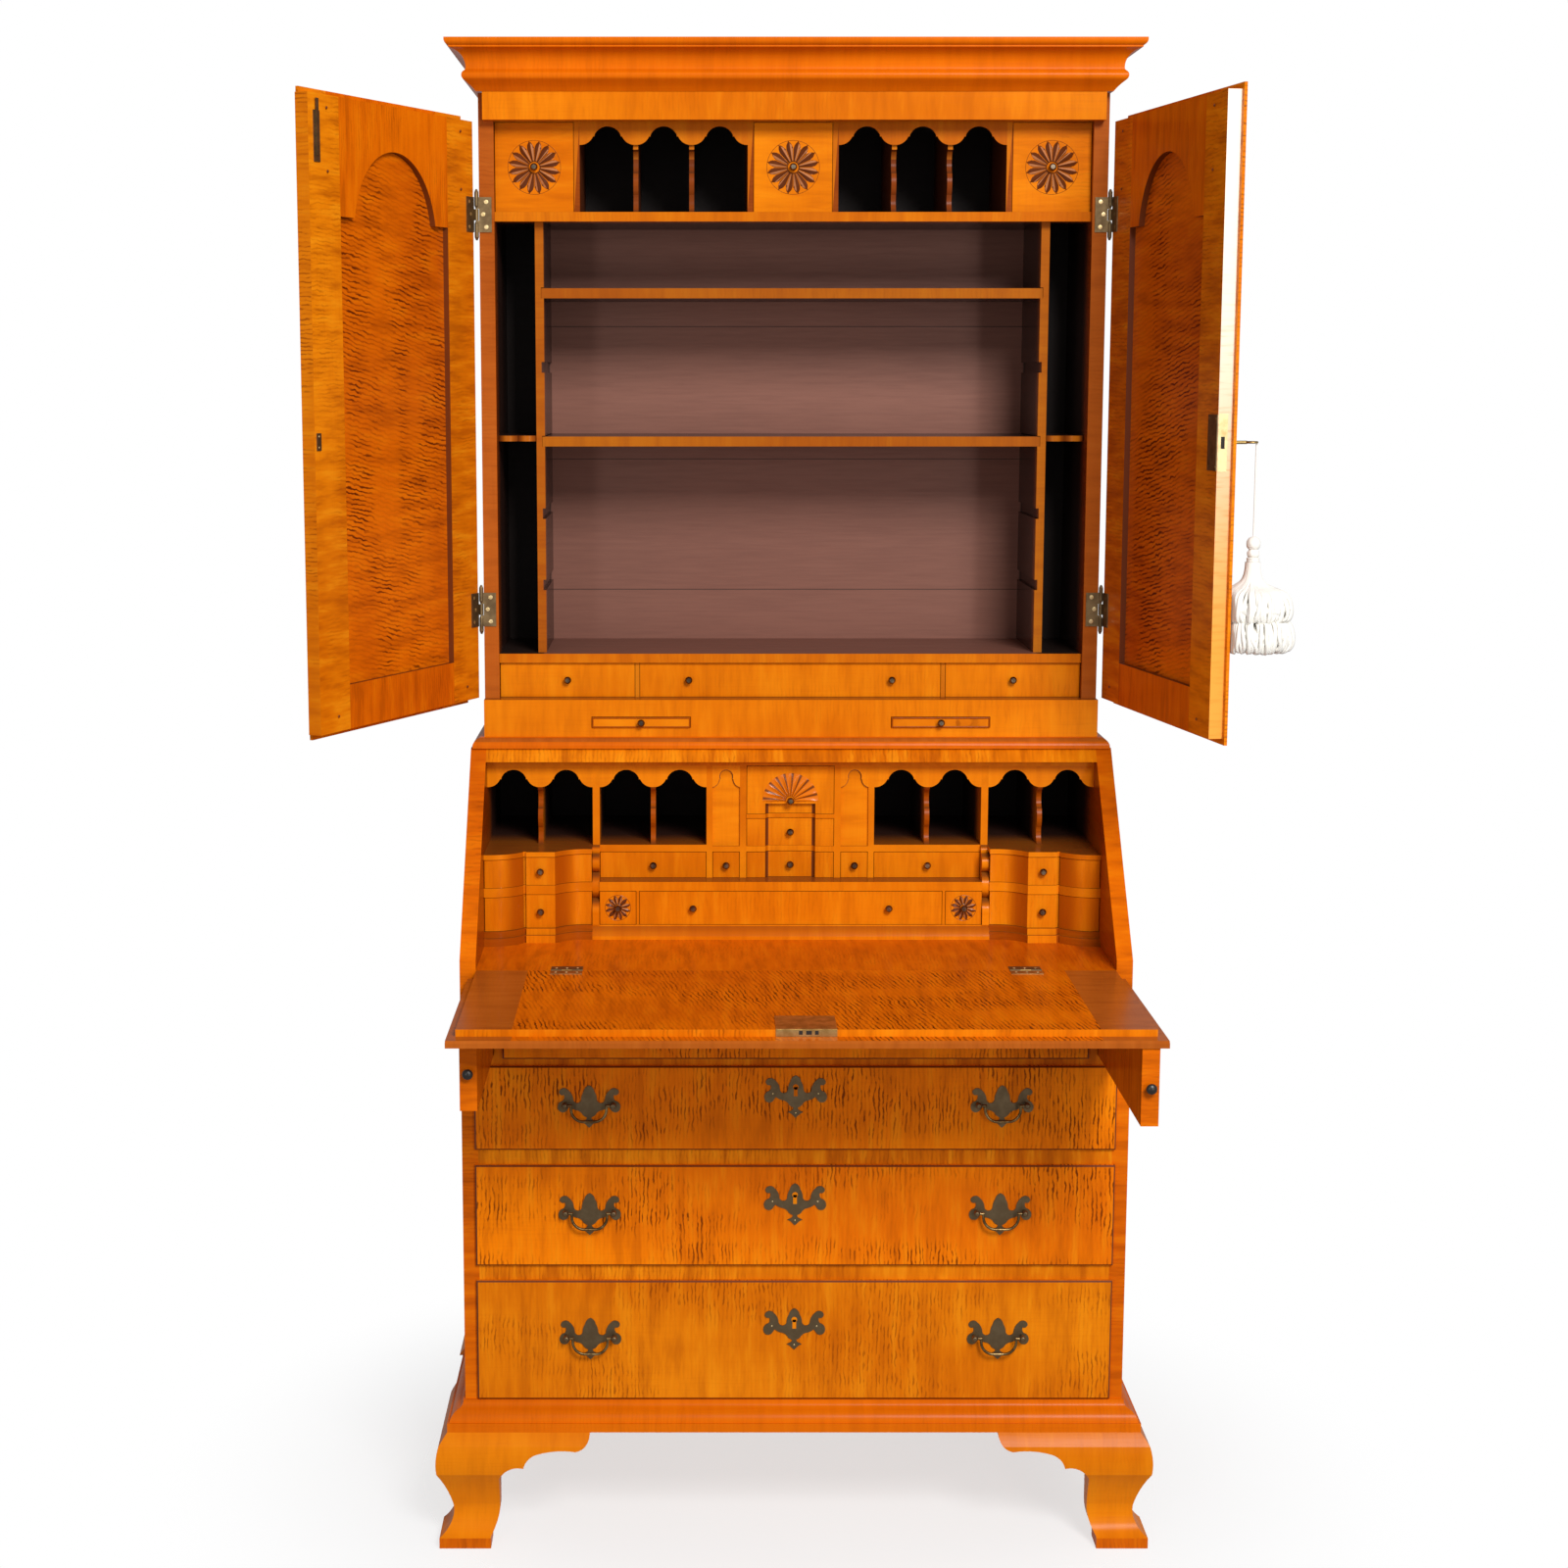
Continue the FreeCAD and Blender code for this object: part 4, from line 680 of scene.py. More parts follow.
def tone_of(name: str, count: int, grain: Grain) -> Tone:
    """Kind of maple of one board.

    Args:
        name: CAD node.
        count: The board's number in it.
        grain: Axis of the board's fibres.

    Returns:
        The kind.
    """
    if name.endswith("_door"):
        stile = Tone.FLAMED if grain is Grain.ALONG_Z else Tone.QUIET_RUSSET
        return Tone.RUSSET if count == DOOR_PANEL else stile
    if name == "fall_board" and count:
        return Tone.STILE
    if name in RUSSET_NODES:
        return Tone.QUIET_RUSSET if count else Tone.RUSSET
    if name in ("cornice", "case_mouldings"):
        return Tone.MOULDED
    if name in INSIDE_NODES:
        return Tone.INSIDE
    if name == "upper_drawer":
        return Tone.FIGURED
    if name == "desk_boards" and count >= WRITING_BED:
        return Tone.RUSSET
    if name in ("bracket_feet", "gallery_valances"):
        return Tone.PLAIN
    if name.endswith("_drawer") and name not in LIPPED:
        return Tone.QUIET
    return PLAIN_TONES[(count + len(name)) % len(PLAIN_TONES)]


@dataclass
class Palette:
    """Every finish of the object, made once, and the faces where shade is painted or the wood takes another
    tone.
    """

    boards: dict[tuple[Grain, Tone], bpy.types.Material] = field(default_factory=dict)
    figure_shift: float = 1.7
    knob_size: float = 16 * MM
    square: float = 0.9
    lean: float = 0.3
    half_turned: float = 0.5
    bevelled: float = 0.95
    hollow_front: float = 0.93
    flat_front: float = 0.17
    post_share: float = 0.6
    post_wide: float = 9 * MM
    free_edge: float = 400 * MM
    panel_span: tuple[float, float] = (60 * MM, 405 * MM)
    rebate: float = -18 * MM
    rail_margin: float = 20 * MM
    fall_lip: float = 806 * MM
    pad_high: float = 11 * MM
    skin: float = 5 * MM
    case_half: float = 400 * MM
    frame_inner: float = 417.5 * MM
    frame_face: float = 8 * MM
    shelf_floor: float = 1.218
    waist: tuple[float, float] = (1.0, 1.2)

    def __post_init__(self) -> None:
        """Make the materials."""
        russet = {"light": (0.76, 0.155, 0.001), "middle": (0.60, 0.105, 0.001),
                  "curl": (0.20, 0.024, 0.001), "gleam": (0.86, 0.235, 0.003),
                  "streak": (0.085, 0.010, 0.001)}
        shaded = {"light": (0.40, 0.078, 0.002), "middle": (0.31, 0.052, 0.001),
                  "curl": (0.16, 0.022, 0.001), "gleam": (0.46, 0.10, 0.002)}
        pinkish = {"light": (0.45, 0.105, 0.010), "middle": (0.36, 0.078, 0.007),
                   "curl": (0.20, 0.036, 0.004), "gleam": (0.52, 0.145, 0.018)}
        golden = {"light": (0.90, 0.215, 0.001), "middle": (0.74, 0.145, 0.001)}
        shades = {
            Tone.AMBER: TigerMaple(strength=0.5, rippled=0.6, dash=0.34, cord=0.32, slope_shade=0.5),
            Tone.FIGURED: TigerMaple(**golden, strength=0.5, rippled=1.0, dash=0.36, cord=0.24),
            Tone.PLAIN: TigerMaple(strength=0.25, rippled=0.06),
            Tone.FLAMED: TigerMaple(strength=0.85, rippled=0.3),
            Tone.STILE: TigerMaple(**pinkish, strength=0.4, rippled=0.15),
            Tone.QUIET: TigerMaple(strength=0.4, rippled=0.12, roughness=0.2, slope_shade=0.8),
            Tone.RUSSET: TigerMaple(**russet, strength=0.55, rippled=1.0, dash=0.09, ripple=6.4 * MM,
                                    slant=0.2),
            Tone.QUIET_RUSSET: TigerMaple(**russet, strength=0.55, rippled=0.2),
            Tone.MOULDED: TigerMaple(**russet, strength=0.2, rippled=0.06, slope_shade=0.12),
            Tone.INSIDE: TigerMaple(strength=0.35, rippled=0.08, roughness=0.2, inner_shade=True, slope_shade=0.6),
            Tone.SHADED: TigerMaple(**shaded, strength=0.4, rippled=0.2, inner_shade=True),
        }
        for grain in Grain:
            for number, (tone, shade) in enumerate(shades.items()):
                name = f"maple_{tone.name.lower()}_{grain.name.lower()}"
                self.boards[(grain, tone)] = shade.make(name, grain, self.figure_shift * number)
        self.back = BackBoards().make("brown_back_boards")
        self.brass = AgedBrass((0.42, 0.29, 0.12), (0.13, 0.082, 0.035), 0.44).make("aged_brass")
        dark = AgedBrass((0.205, 0.145, 0.080), (0.155, 0.105, 0.056), 0.45, 0.46)
        self.dark_brass = dark.make("browned_brass")
        self.screw = AgedBrass((0.80, 0.62, 0.32), (0.55, 0.38, 0.15), 0.62, 0.36).make("bright_screws")
        self.plate = AgedBrass((0.56, 0.40, 0.16), (0.36, 0.22, 0.07), 0.5, 0.40).make("rubbed_plate")
        self.hinge = AgedBrass((0.24, 0.165, 0.08), (0.15, 0.10, 0.05), 0.5, 0.52).make("hinge_brass")
        self.knob = AgedBrass((0.34, 0.27, 0.19), (0.10, 0.07, 0.05), 0.45, 0.26).make("worn_knobs")
        self.yarn = CreamYarn().make("cream_yarn")
        self.carved = CarvedMaple().make("carved_maple")
        # Near black film of painted shade for the lock slots.
        self.hollow = PlainFinish((0.012, 0.008, 0.006), 0.8).make("slot_shade")
        # Dark brown: painted shade in gaps, recesses and round panels and arches, and the pegs' own colour.
        self.edge = PlainFinish((0.17, 0.032, 0.002), 0.4, 0.3).make("shade_and_peg_brown")
        self.pale = BareEdge().make("bare_edge")
        self.black = PlainFinish((0.018, 0.014, 0.012), 0.35).make("black_knobs")
        self.floor = PaleFloor().make("pale_floor")

    def dress(self, name: str, small: bpy.types.Material) -> None:
        """Give each board of a wooden node its own grain, and its knobs their metal.

        Args:
            name: CAD node.
            small: Finish of solids that are small every way, such as knobs.
        """
        mesh = NODES[name].data
        mesh.materials.clear()
        keys = list(self.boards)
        metal, edge, back, pale = (len(keys) + k for k in range(4))
        for material in (*self.boards.values(), small, self.edge, self.back, self.pale):
            mesh.materials.append(material)
        for count, group in enumerate(solids_of(mesh)):
            low, high = extent(mesh, group)
            size = high - low
            grain = Grain(max(range(3), key=lambda k: size[k]))
            wood = keys.index((grain, tone_of(name, count, grain)))
            for p in group:
                mesh.polygons[p].material_index = metal if max(size) < self.knob_size else wood
        self.brown(name, edge, back, pale, keys)

    def brown(self, name: str, edge: int, back: int, pale: int, keys: list[tuple[Grain, Tone]]) -> None:
        """Paint shade on edges in gaps and recesses and on walls inside the case, and give rebates and other
        faces their own tones.

        Args:
            name: CAD node.
            edge: Slot of the dark brown that is painted shade.
            back: Slot of the back boards' finish.
            pale: Slot of the bare edges.
            keys: Kinds of maple in the order of their slots.
        """
        level = {tone: keys.index((Grain.ALONG_X, tone)) for tone in Tone}
        upright = {tone: keys.index((Grain.ALONG_Z, tone)) for tone in Tone}
        mesh = NODES[name].data
        fronts = set(solids_of(mesh)[0])
        low, high = extent(mesh, range(len(mesh.polygons)))
        for polygon in mesh.polygons:
            x, y, z = polygon.normal
            spot = polygon.center
            slot = polygon.material_index
            front, top = y < -self.lean, z > self.square
            outer = (x * spot.x > self.case_half or top and spot.z > high.z - self.skin
                     or y > self.square and spot.y > high.y - self.skin)
            # Painted shade: the lips' bevels, the sides of the small drawers' fronts and the walls of the
            # prospect's recess take the dark brown.
            if name in LIPPED:
                slot = edge if max(abs(x), abs(y), abs(z)) < self.bevelled else slot
            elif name.endswith("_drawer") and polygon.index in fronts:
                limit = self.hollow_front if name.startswith("prospect") else self.flat_front
                slot = edge if abs(y) < limit else slot
            elif name in PIGEON_NODES:
                xs = [mesh.vertices[i].co.x for i in polygon.vertices]
                thin = max(xs) - min(xs) < self.post_wide
                waist = low.z + self.post_share * (high.z - low.z)
                lower = name == "gallery_dividers" or spot.z < waist
                # Painted shade: the edges of the arches take the dark brown.
                if name != "gallery_dividers" and abs(y) < self.half_turned and spot.z > low.z + 1 * MM:
                    slot = edge
                elif name != "gallery_valances" and y < -self.half_turned and lower and thin:
                    slot = upright[Tone.SHADED]
            elif name == "desk_boards" and front:
                slot = level[Tone.FLAMED]
            elif name == "desk_boards" and top:
                slot = level[Tone.QUIET_RUSSET]
            elif name == "case_mouldings":
                sloping = self.lean < abs(z) < self.bevelled and abs(y) < 0.8
                # Painted shade: the sloping faces of the waist moulding take the darker stile tone.
                if sloping and self.waist[0] < spot.z < self.waist[1]:
                    slot = level[Tone.STILE]
            elif name in HANGING:
                hang = HANGING[name]
                across, facing = hang.across(spot), hang.free_way.dot(polygon.normal)
                inner = self.panel_span[0] < across < self.panel_span[1]
                if facing > self.square and across > self.free_edge:
                    bare = hang.side > 0 and hang.inset(spot) > self.rebate
                    slot = pale if bare else upright[Tone.AMBER]
                # Painted shade: the edges round the door's panel take the dark brown.
                elif abs(hang.inward.dot(polygon.normal)) < 0.6 and inner:
                    between = low.z + self.rail_margin < spot.z < high.z - self.rail_margin
                    slot = edge if between else slot
            elif name == "fall_board" and front:
                slot = level[Tone.AMBER if spot.z > self.fall_lip else Tone.STILE]
            elif name == "bracket_feet" and spot.z < self.pad_high:
                slot = level[Tone.QUIET_RUSSET]
            elif front and (name == "desk_sides" or name.endswith("_loper") and slot < len(keys)):
                slot = upright[Tone.QUIET_RUSSET]
            elif name == "bookcase_case" and outer:
                slot = upright[Tone.RUSSET]
            # Painted shade: the case's inner walls take the shaded maple.
            elif name in ("desk_sides", "bookcase_case") and x * spot.x < 0.0 and abs(x) > self.square:
                slot = upright[Tone.SHADED]
            elif name == "bookcase_case" and y < -self.square and abs(spot.x) > self.frame_inner:
                slot = upright[Tone.STILE] if spot.y > self.frame_face else slot
            elif name == "bookcase_case" and top and abs(spot.z - self.shelf_floor) < 1 * MM:
                slot = back
            polygon.material_index = slot

    def coat(self, name: str, material: bpy.types.Material) -> None:
        """Give a whole CAD node one finish."""
        mesh = NODES[name].data
        mesh.materials.clear()
        mesh.materials.append(material)
        for polygon in mesh.polygons:
            polygon.material_index = 0


@dataclass
class Carcase:
    """The wooden nodes and metal nodes that stay as they are in CAD, with better finishes."""

    palette: Palette

    def dress(self) -> None:
        """Dress every CAD node."""
        palette = self.palette
        for name in NODES:
            if name in ("fall_brasses", "door_key"):
                palette.coat(name, palette.plate)
            elif name.endswith("bails"):
                palette.coat(name, palette.brass)
            elif name in ("hinge_leaves", "left_door_bolt") or name.endswith("door_brasses"):
                palette.coat(name, palette.hinge)
            elif name.endswith("brasses"):
                palette.coat(name, palette.dark_brass)
            elif name == "back_boards":
                palette.coat(name, palette.back)
            elif not name.startswith("tassel"):
                palette.dress(name, palette.black if name.endswith("_loper") else palette.knob)


class Ray(Enum):
    """How the rays of a carving are cut."""

    POINTED = "star"
    HOLLOW = "fan"


@dataclass
class Carving:
    """A rosette of pointed rays or a half fan of hollow ones, on a drawer's front."""

    palette: Palette
    drawer: str
    radius: float
    rays: int
    kind: Ray = Ray.POINTED
    lift: float = 0.0
    fine: int = 10
    relief: float = 2.6 * MM
    tip: float = 0.27
    eye: float = 0.25
    knob_long: float = 12 * MM
    foot: float = -0.4 * MM
    stops: tuple[float, ...] = (0.4, 0.55, 0.7, 0.8, 0.84, 0.88, 0.92, 0.96, 0.99)
    lit_mark: float = 0.95
    ring_mark: float = 0.35

    def centre(self) -> Vector:
        """Middle of the carving, on the drawer's front plane."""
        low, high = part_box(self.drawer)
        return Vector(((low.x + high.x) / 2, low.y + self.knob_long, (low.z + high.z) / 2 + self.lift))

    def relief_at(self, share: float, along: float) -> tuple[float, float]:
        """Height of the relief and its depth mark.

        Args:
            share: Place across a ray, from 0 to 1.
            along: Place from the middle at 0 to the rim at 1.

        Returns:
            Height over the drawer's front, and the depth mark: 0 for bare wood, 0.3 for a stained ray, and
            for the fan a mark of painted shade on one flank of each hollow.
        """
        side = abs(2.0 * share - 1.0)
        if self.kind is Ray.HOLLOW:
            crest = math.sin(math.pi * min(1.0, 0.18 + 0.8 * along)) ** 0.6
            hollow = 1.0 - 0.86 * (1.0 - side * side)
            # Painted shade: a dark band on one flank of each hollow.
            mark = 0.22 * math.sin(math.pi * max(0.0, 2.0 * share - 1.0))
            return self.relief * (0.12 + 0.88 * crest * hollow), mark
        wide = 0.99 * min(1.0, (1.0 - along) / self.tip) ** 0.95 * min(1.0, 0.75 + 0.8 * along)
        if side >= wide:
            return -0.25 * MM, 0.0
        rise = 1.0 - side / wide
        return self.relief * rise * min(1.0, 0.45 + along) * wide ** 0.5 + 0.05 * MM, 0.3

    def rings(self, shape: bmesh.types.BMesh, depth: bmesh.types.BMLayerItem) -> None:
        """Add the scribed circle round a rosette and the bead round its eye.

        Args:
            shape: Mesh that they are added to.
            depth: The layer of depth marks.
        """
        for radius, wire in ((1.005 * self.radius, 0.28 * MM), (0.9 * self.eye * self.radius, 0.75 * MM)):
            ring = bmesh.ops.create_circle(shape, segments=8, radius=wire)["verts"]
            turn = Matrix.Translation((radius, 0.0, 0.0)) @ Matrix.Rotation(math.pi / 2, 4, "X")
            bmesh.ops.transform(shape, matrix=turn, verts=ring)
            edges = list({e for v in ring for e in v.link_edges})
            before = set(shape.verts) - set(ring)
            bmesh.ops.spin(shape, geom=ring + edges, axis=(0, 0, 1), cent=(0, 0, 0), angle=math.tau,
                           steps=64, use_merge=True)
            for vert in set(shape.verts) - before:
                vert[depth] = self.ring_mark

    def build(self) -> bpy.types.Object:
        """Spin the eye's rim and draw it outwards ring by ring.

        Returns:
            The carved piece.
        """
        shape = bmesh.new()
        depth = shape.verts.layers.float.new("depth")
        whole = self.kind is Ray.POINTED
        sweep = math.tau if whole else math.pi
        start = shape.verts.new((self.eye * self.radius, 0.0, 0.0))
        bmesh.ops.spin(shape, geom=[start], axis=(0, 0, 1), cent=(0, 0, 0), angle=sweep,
                       steps=self.rays * self.fine, use_merge=whole)
        bmesh.ops.remove_doubles(shape, verts=shape.verts[:], dist=1e-7)
        ring = shape.edges[:]
        pitch = sweep / self.rays
        stops = (self.eye, *self.stops)
        rows = [list(shape.verts)]
        for before, stop in zip(stops, stops[1:]):
            grown = bmesh.ops.extrude_edge_only(shape, edges=ring)["geom"]
            row = [g for g in grown if isinstance(g, bmesh.types.BMVert)]
            ring = [g for g in grown if isinstance(g, bmesh.types.BMEdge) and all(v in row for v in g.verts)]
            bmesh.ops.scale(shape, vec=(stop / before, stop / before, 1.0), verts=row)
            rows.append(row)
        for along, row in zip(stops, rows):
            for vert in row:
                angle = math.atan2(vert.co.y, vert.co.x) % math.tau
                share = (angle / pitch) % 1.0
                vert.co.z, vert[depth] = self.relief_at(share, along)
                # Painted highlight: one flank of each ray, picked by the ray's direction, is marked lit and
                # takes the light colour.
                lit = math.sin(2.0 * (math.pi / 4 - angle)) * (share - 0.5)
                if whole and vert[depth] > 0.0 and lit > 0.04:
                    vert[depth] = self.lit_mark
        rim = bmesh.ops.extrude_edge_only(shape, edges=[e for e in shape.edges if e.is_boundary])["geom"]
        for vert in (g for g in rim if isinstance(g, bmesh.types.BMVert)):
            vert.co.z = self.foot
        if whole:
            self.rings(shape, depth)
        bmesh.ops.recalc_face_normals(shape, faces=shape.faces[:])
        stand = Matrix.Translation(self.centre()) @ Matrix.Rotation(math.pi / 2, 4, "X")
        bmesh.ops.transform(shape, matrix=stand, verts=shape.verts[:])
        return new_piece(f"{self.drawer}_carving", shape, self.palette.carved, self.drawer, False)


@dataclass
class Tassel:
    """The cord and tassel that hang from the key."""

    palette: Palette
    cord_radius: float = 1.3 * MM
    strand: float = 2.7 * MM
    binding: float = 1.2 * MM
    flare: float = 17 * MM
    door_gap: float = 33 * MM
    seed: int = 7
    tiers: tuple[tuple[int, float, float, float, float], ...] = (
        (84, 0.14, 0.48, 0.735, 0.97), (100, 0.30, 0.71, 0.985, 1.0))
    balls: tuple[tuple[float, float, float], ...] = (
        (0.065, 0.25, 0.062), (0.15, 0.22, 0.045), (0.26, 0.19, 0.13), (0.41, 0.40, 0.06),
        (0.61, 1.40, 0.125), (0.84, 1.43, 0.14))

    def solid(self) -> tuple[Vector, float, float]:
        """Middle of the CAD tassel's top, half its width, and its height."""
        low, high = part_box("tassel")
        top = Vector(((low.x + high.x) / 2, (low.y + high.y) / 2, high.z))
        return top, (high.x - low.x) / 2, high.z - low.z

    def off_door(self, spot: Vector) -> Vector:
        """A place about the tassel's axis, pushed clear of the door."""
        away = -HANGING["right_door"].inward
        return spot + away * max(0.0, -self.door_gap - spot.dot(away))

    @staticmethod
    def yarn_curve(name: str, radius: float, rounding: int) -> bpy.types.Curve:
        """An empty curve with a round section.

        Args:
            name: Name of the curve.
            radius: Radius of the section.
            rounding: Resolution of the section.

        Returns:
            The curve.
        """
        curve = bpy.data.curves.new(name, "CURVE")
        curve.dimensions = "3D"
        curve.bevel_depth = radius
        curve.bevel_resolution = rounding
        return curve

    @staticmethod
    def lay(curve: bpy.types.Curve, points: list[Place] | list[Vector]) -> None:
        """Lay one smooth strand along some points.

        Args:
            curve: Curve that it is added to.
            points: Its control points.
        """
        spline = curve.splines.new("NURBS")
        spline.points.add(len(points) - 1)
        for point, spot in zip(spline.points, points):
            point.co = (*spot, 1.0)
        spline.order_u = 3
        spline.use_endpoint_u = True

    def cord(self) -> bpy.types.Object:
        """A limp cord from the key's bow to the tassel's knot.

        Returns:
            The cord.
        """
        low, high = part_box("tassel_cord")
        x, y = (low.x + high.x) / 2, (low.y + high.y) / 2
        curve = self.yarn_curve("tassel_cord_yarn", self.cord_radius, 3)
        self.lay(curve, [(x, y, high.z + (low.z - high.z) * share) for share in (0.0, 0.25, 0.5, 0.75, 1.0)])
        curve.materials.append(self.palette.yarn)
        piece = linked("tassel_cord_yarn", curve)
        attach(piece, "tassel")
        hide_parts("tassel_cord")
        return piece

    def strands(self) -> bmesh.types.BMesh:
        """Looped strands of the two skirts, each drawn along a smooth curve.

        Returns:
            The strands' mesh.
        """
        head, half, tall = self.solid()
        reach = half + self.flare
        dice = random.Random(self.seed)
        curve = self.yarn_curve("strands", self.strand, 1)
        curve.resolution_u = 4
        for count, inner, top, bottom, wide in self.tiers:
            for n in range(count):
                angle = math.tau * (n + dice.uniform(-0.3, 0.3)) / count
                reach_out = reach * wide * dice.uniform(0.9, 1.0)
                drop = bottom - dice.uniform(0.0, 0.03)
                middle = (top + drop) / 2
                path = ((inner, top - 0.26), (inner, top - 0.12), (0.45, top - 0.04), (0.9, top),
                        (1.02, middle), (1.0, middle + 0.08), (0.86, drop), (0.66, drop - 0.04))
                points = []
                for out, down in path:
                    swing = angle + dice.uniform(-0.08, 0.08)
                    spot = Vector((math.cos(swing), math.sin(swing), 0.0)) * reach_out * out
                    points.append(head + self.off_door(spot) - Vector((0.0, 0.0, tall * down)))
                self.lay(curve, points)
        holder = linked("strands", curve)
        bpy.context.view_layer.update()
        evaluated = holder.evaluated_get(bpy.context.evaluated_depsgraph_get())
        mesh = bpy.data.meshes.new_from_object(evaluated)
        shape = bmesh.new()
        shape.from_mesh(mesh)
        bpy.data.objects.remove(holder)
        bpy.data.meshes.remove(mesh)
        return shape

    def knot(self, shape: bmesh.types.BMesh) -> None:
        """Add the ball knot, the bound neck and the gathered ruff.

        Args:
            shape: Mesh that the parts are added to.
        """
        head, reach, tall = self.solid()
        for down, wide, half in self.balls:
            ball = bmesh.ops.create_uvsphere(shape, u_segments=24, v_segments=12, radius=1.0)["verts"]
            bmesh.ops.scale(shape, vec=(wide * reach, wide * reach, half * tall), verts=ball)
            for vert in ball:
                angle = math.atan2(vert.co.y, vert.co.x)
                twist = 1.0 + 0.05 * math.sin(8.0 * angle + 500.0 * vert.co.z)
                vert.co.x *= twist
                vert.co.y *= twist
                vert.co = self.off_door(vert.co)
            bmesh.ops.translate(shape, vec=(head.x, head.y, head.z - down * tall), verts=ball)
        for n in range(12):
            eye = Vector((head.x, head.y, head.z - (0.19 + 0.012 * n) * tall))
            ring = bmesh.ops.create_circle(shape, segments=6, radius=self.binding)["verts"]
            edges = list({e for v in ring for e in v.link_edges})
            foot = eye + Vector((0.2 * reach, 0, 0))
            stand = Matrix.Translation(foot) @ Matrix.Rotation(math.pi / 2, 4, "X")
            bmesh.ops.transform(shape, matrix=stand, verts=ring)
            bmesh.ops.spin(shape, geom=ring + edges, axis=(0, 0, 1), cent=eye, angle=math.tau, steps=20,
                           use_merge=True)

    def build(self) -> bpy.types.Object:
        """Returns:
            The tassel.
        """
        cord = self.cord()
        shape = self.strands()
        self.knot(shape)
        bmesh.ops.recalc_face_normals(shape, faces=shape.faces[:])
        piece = new_piece("tassel_skirts", shape, self.palette.yarn, "tassel")
        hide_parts("tassel")
        return piece


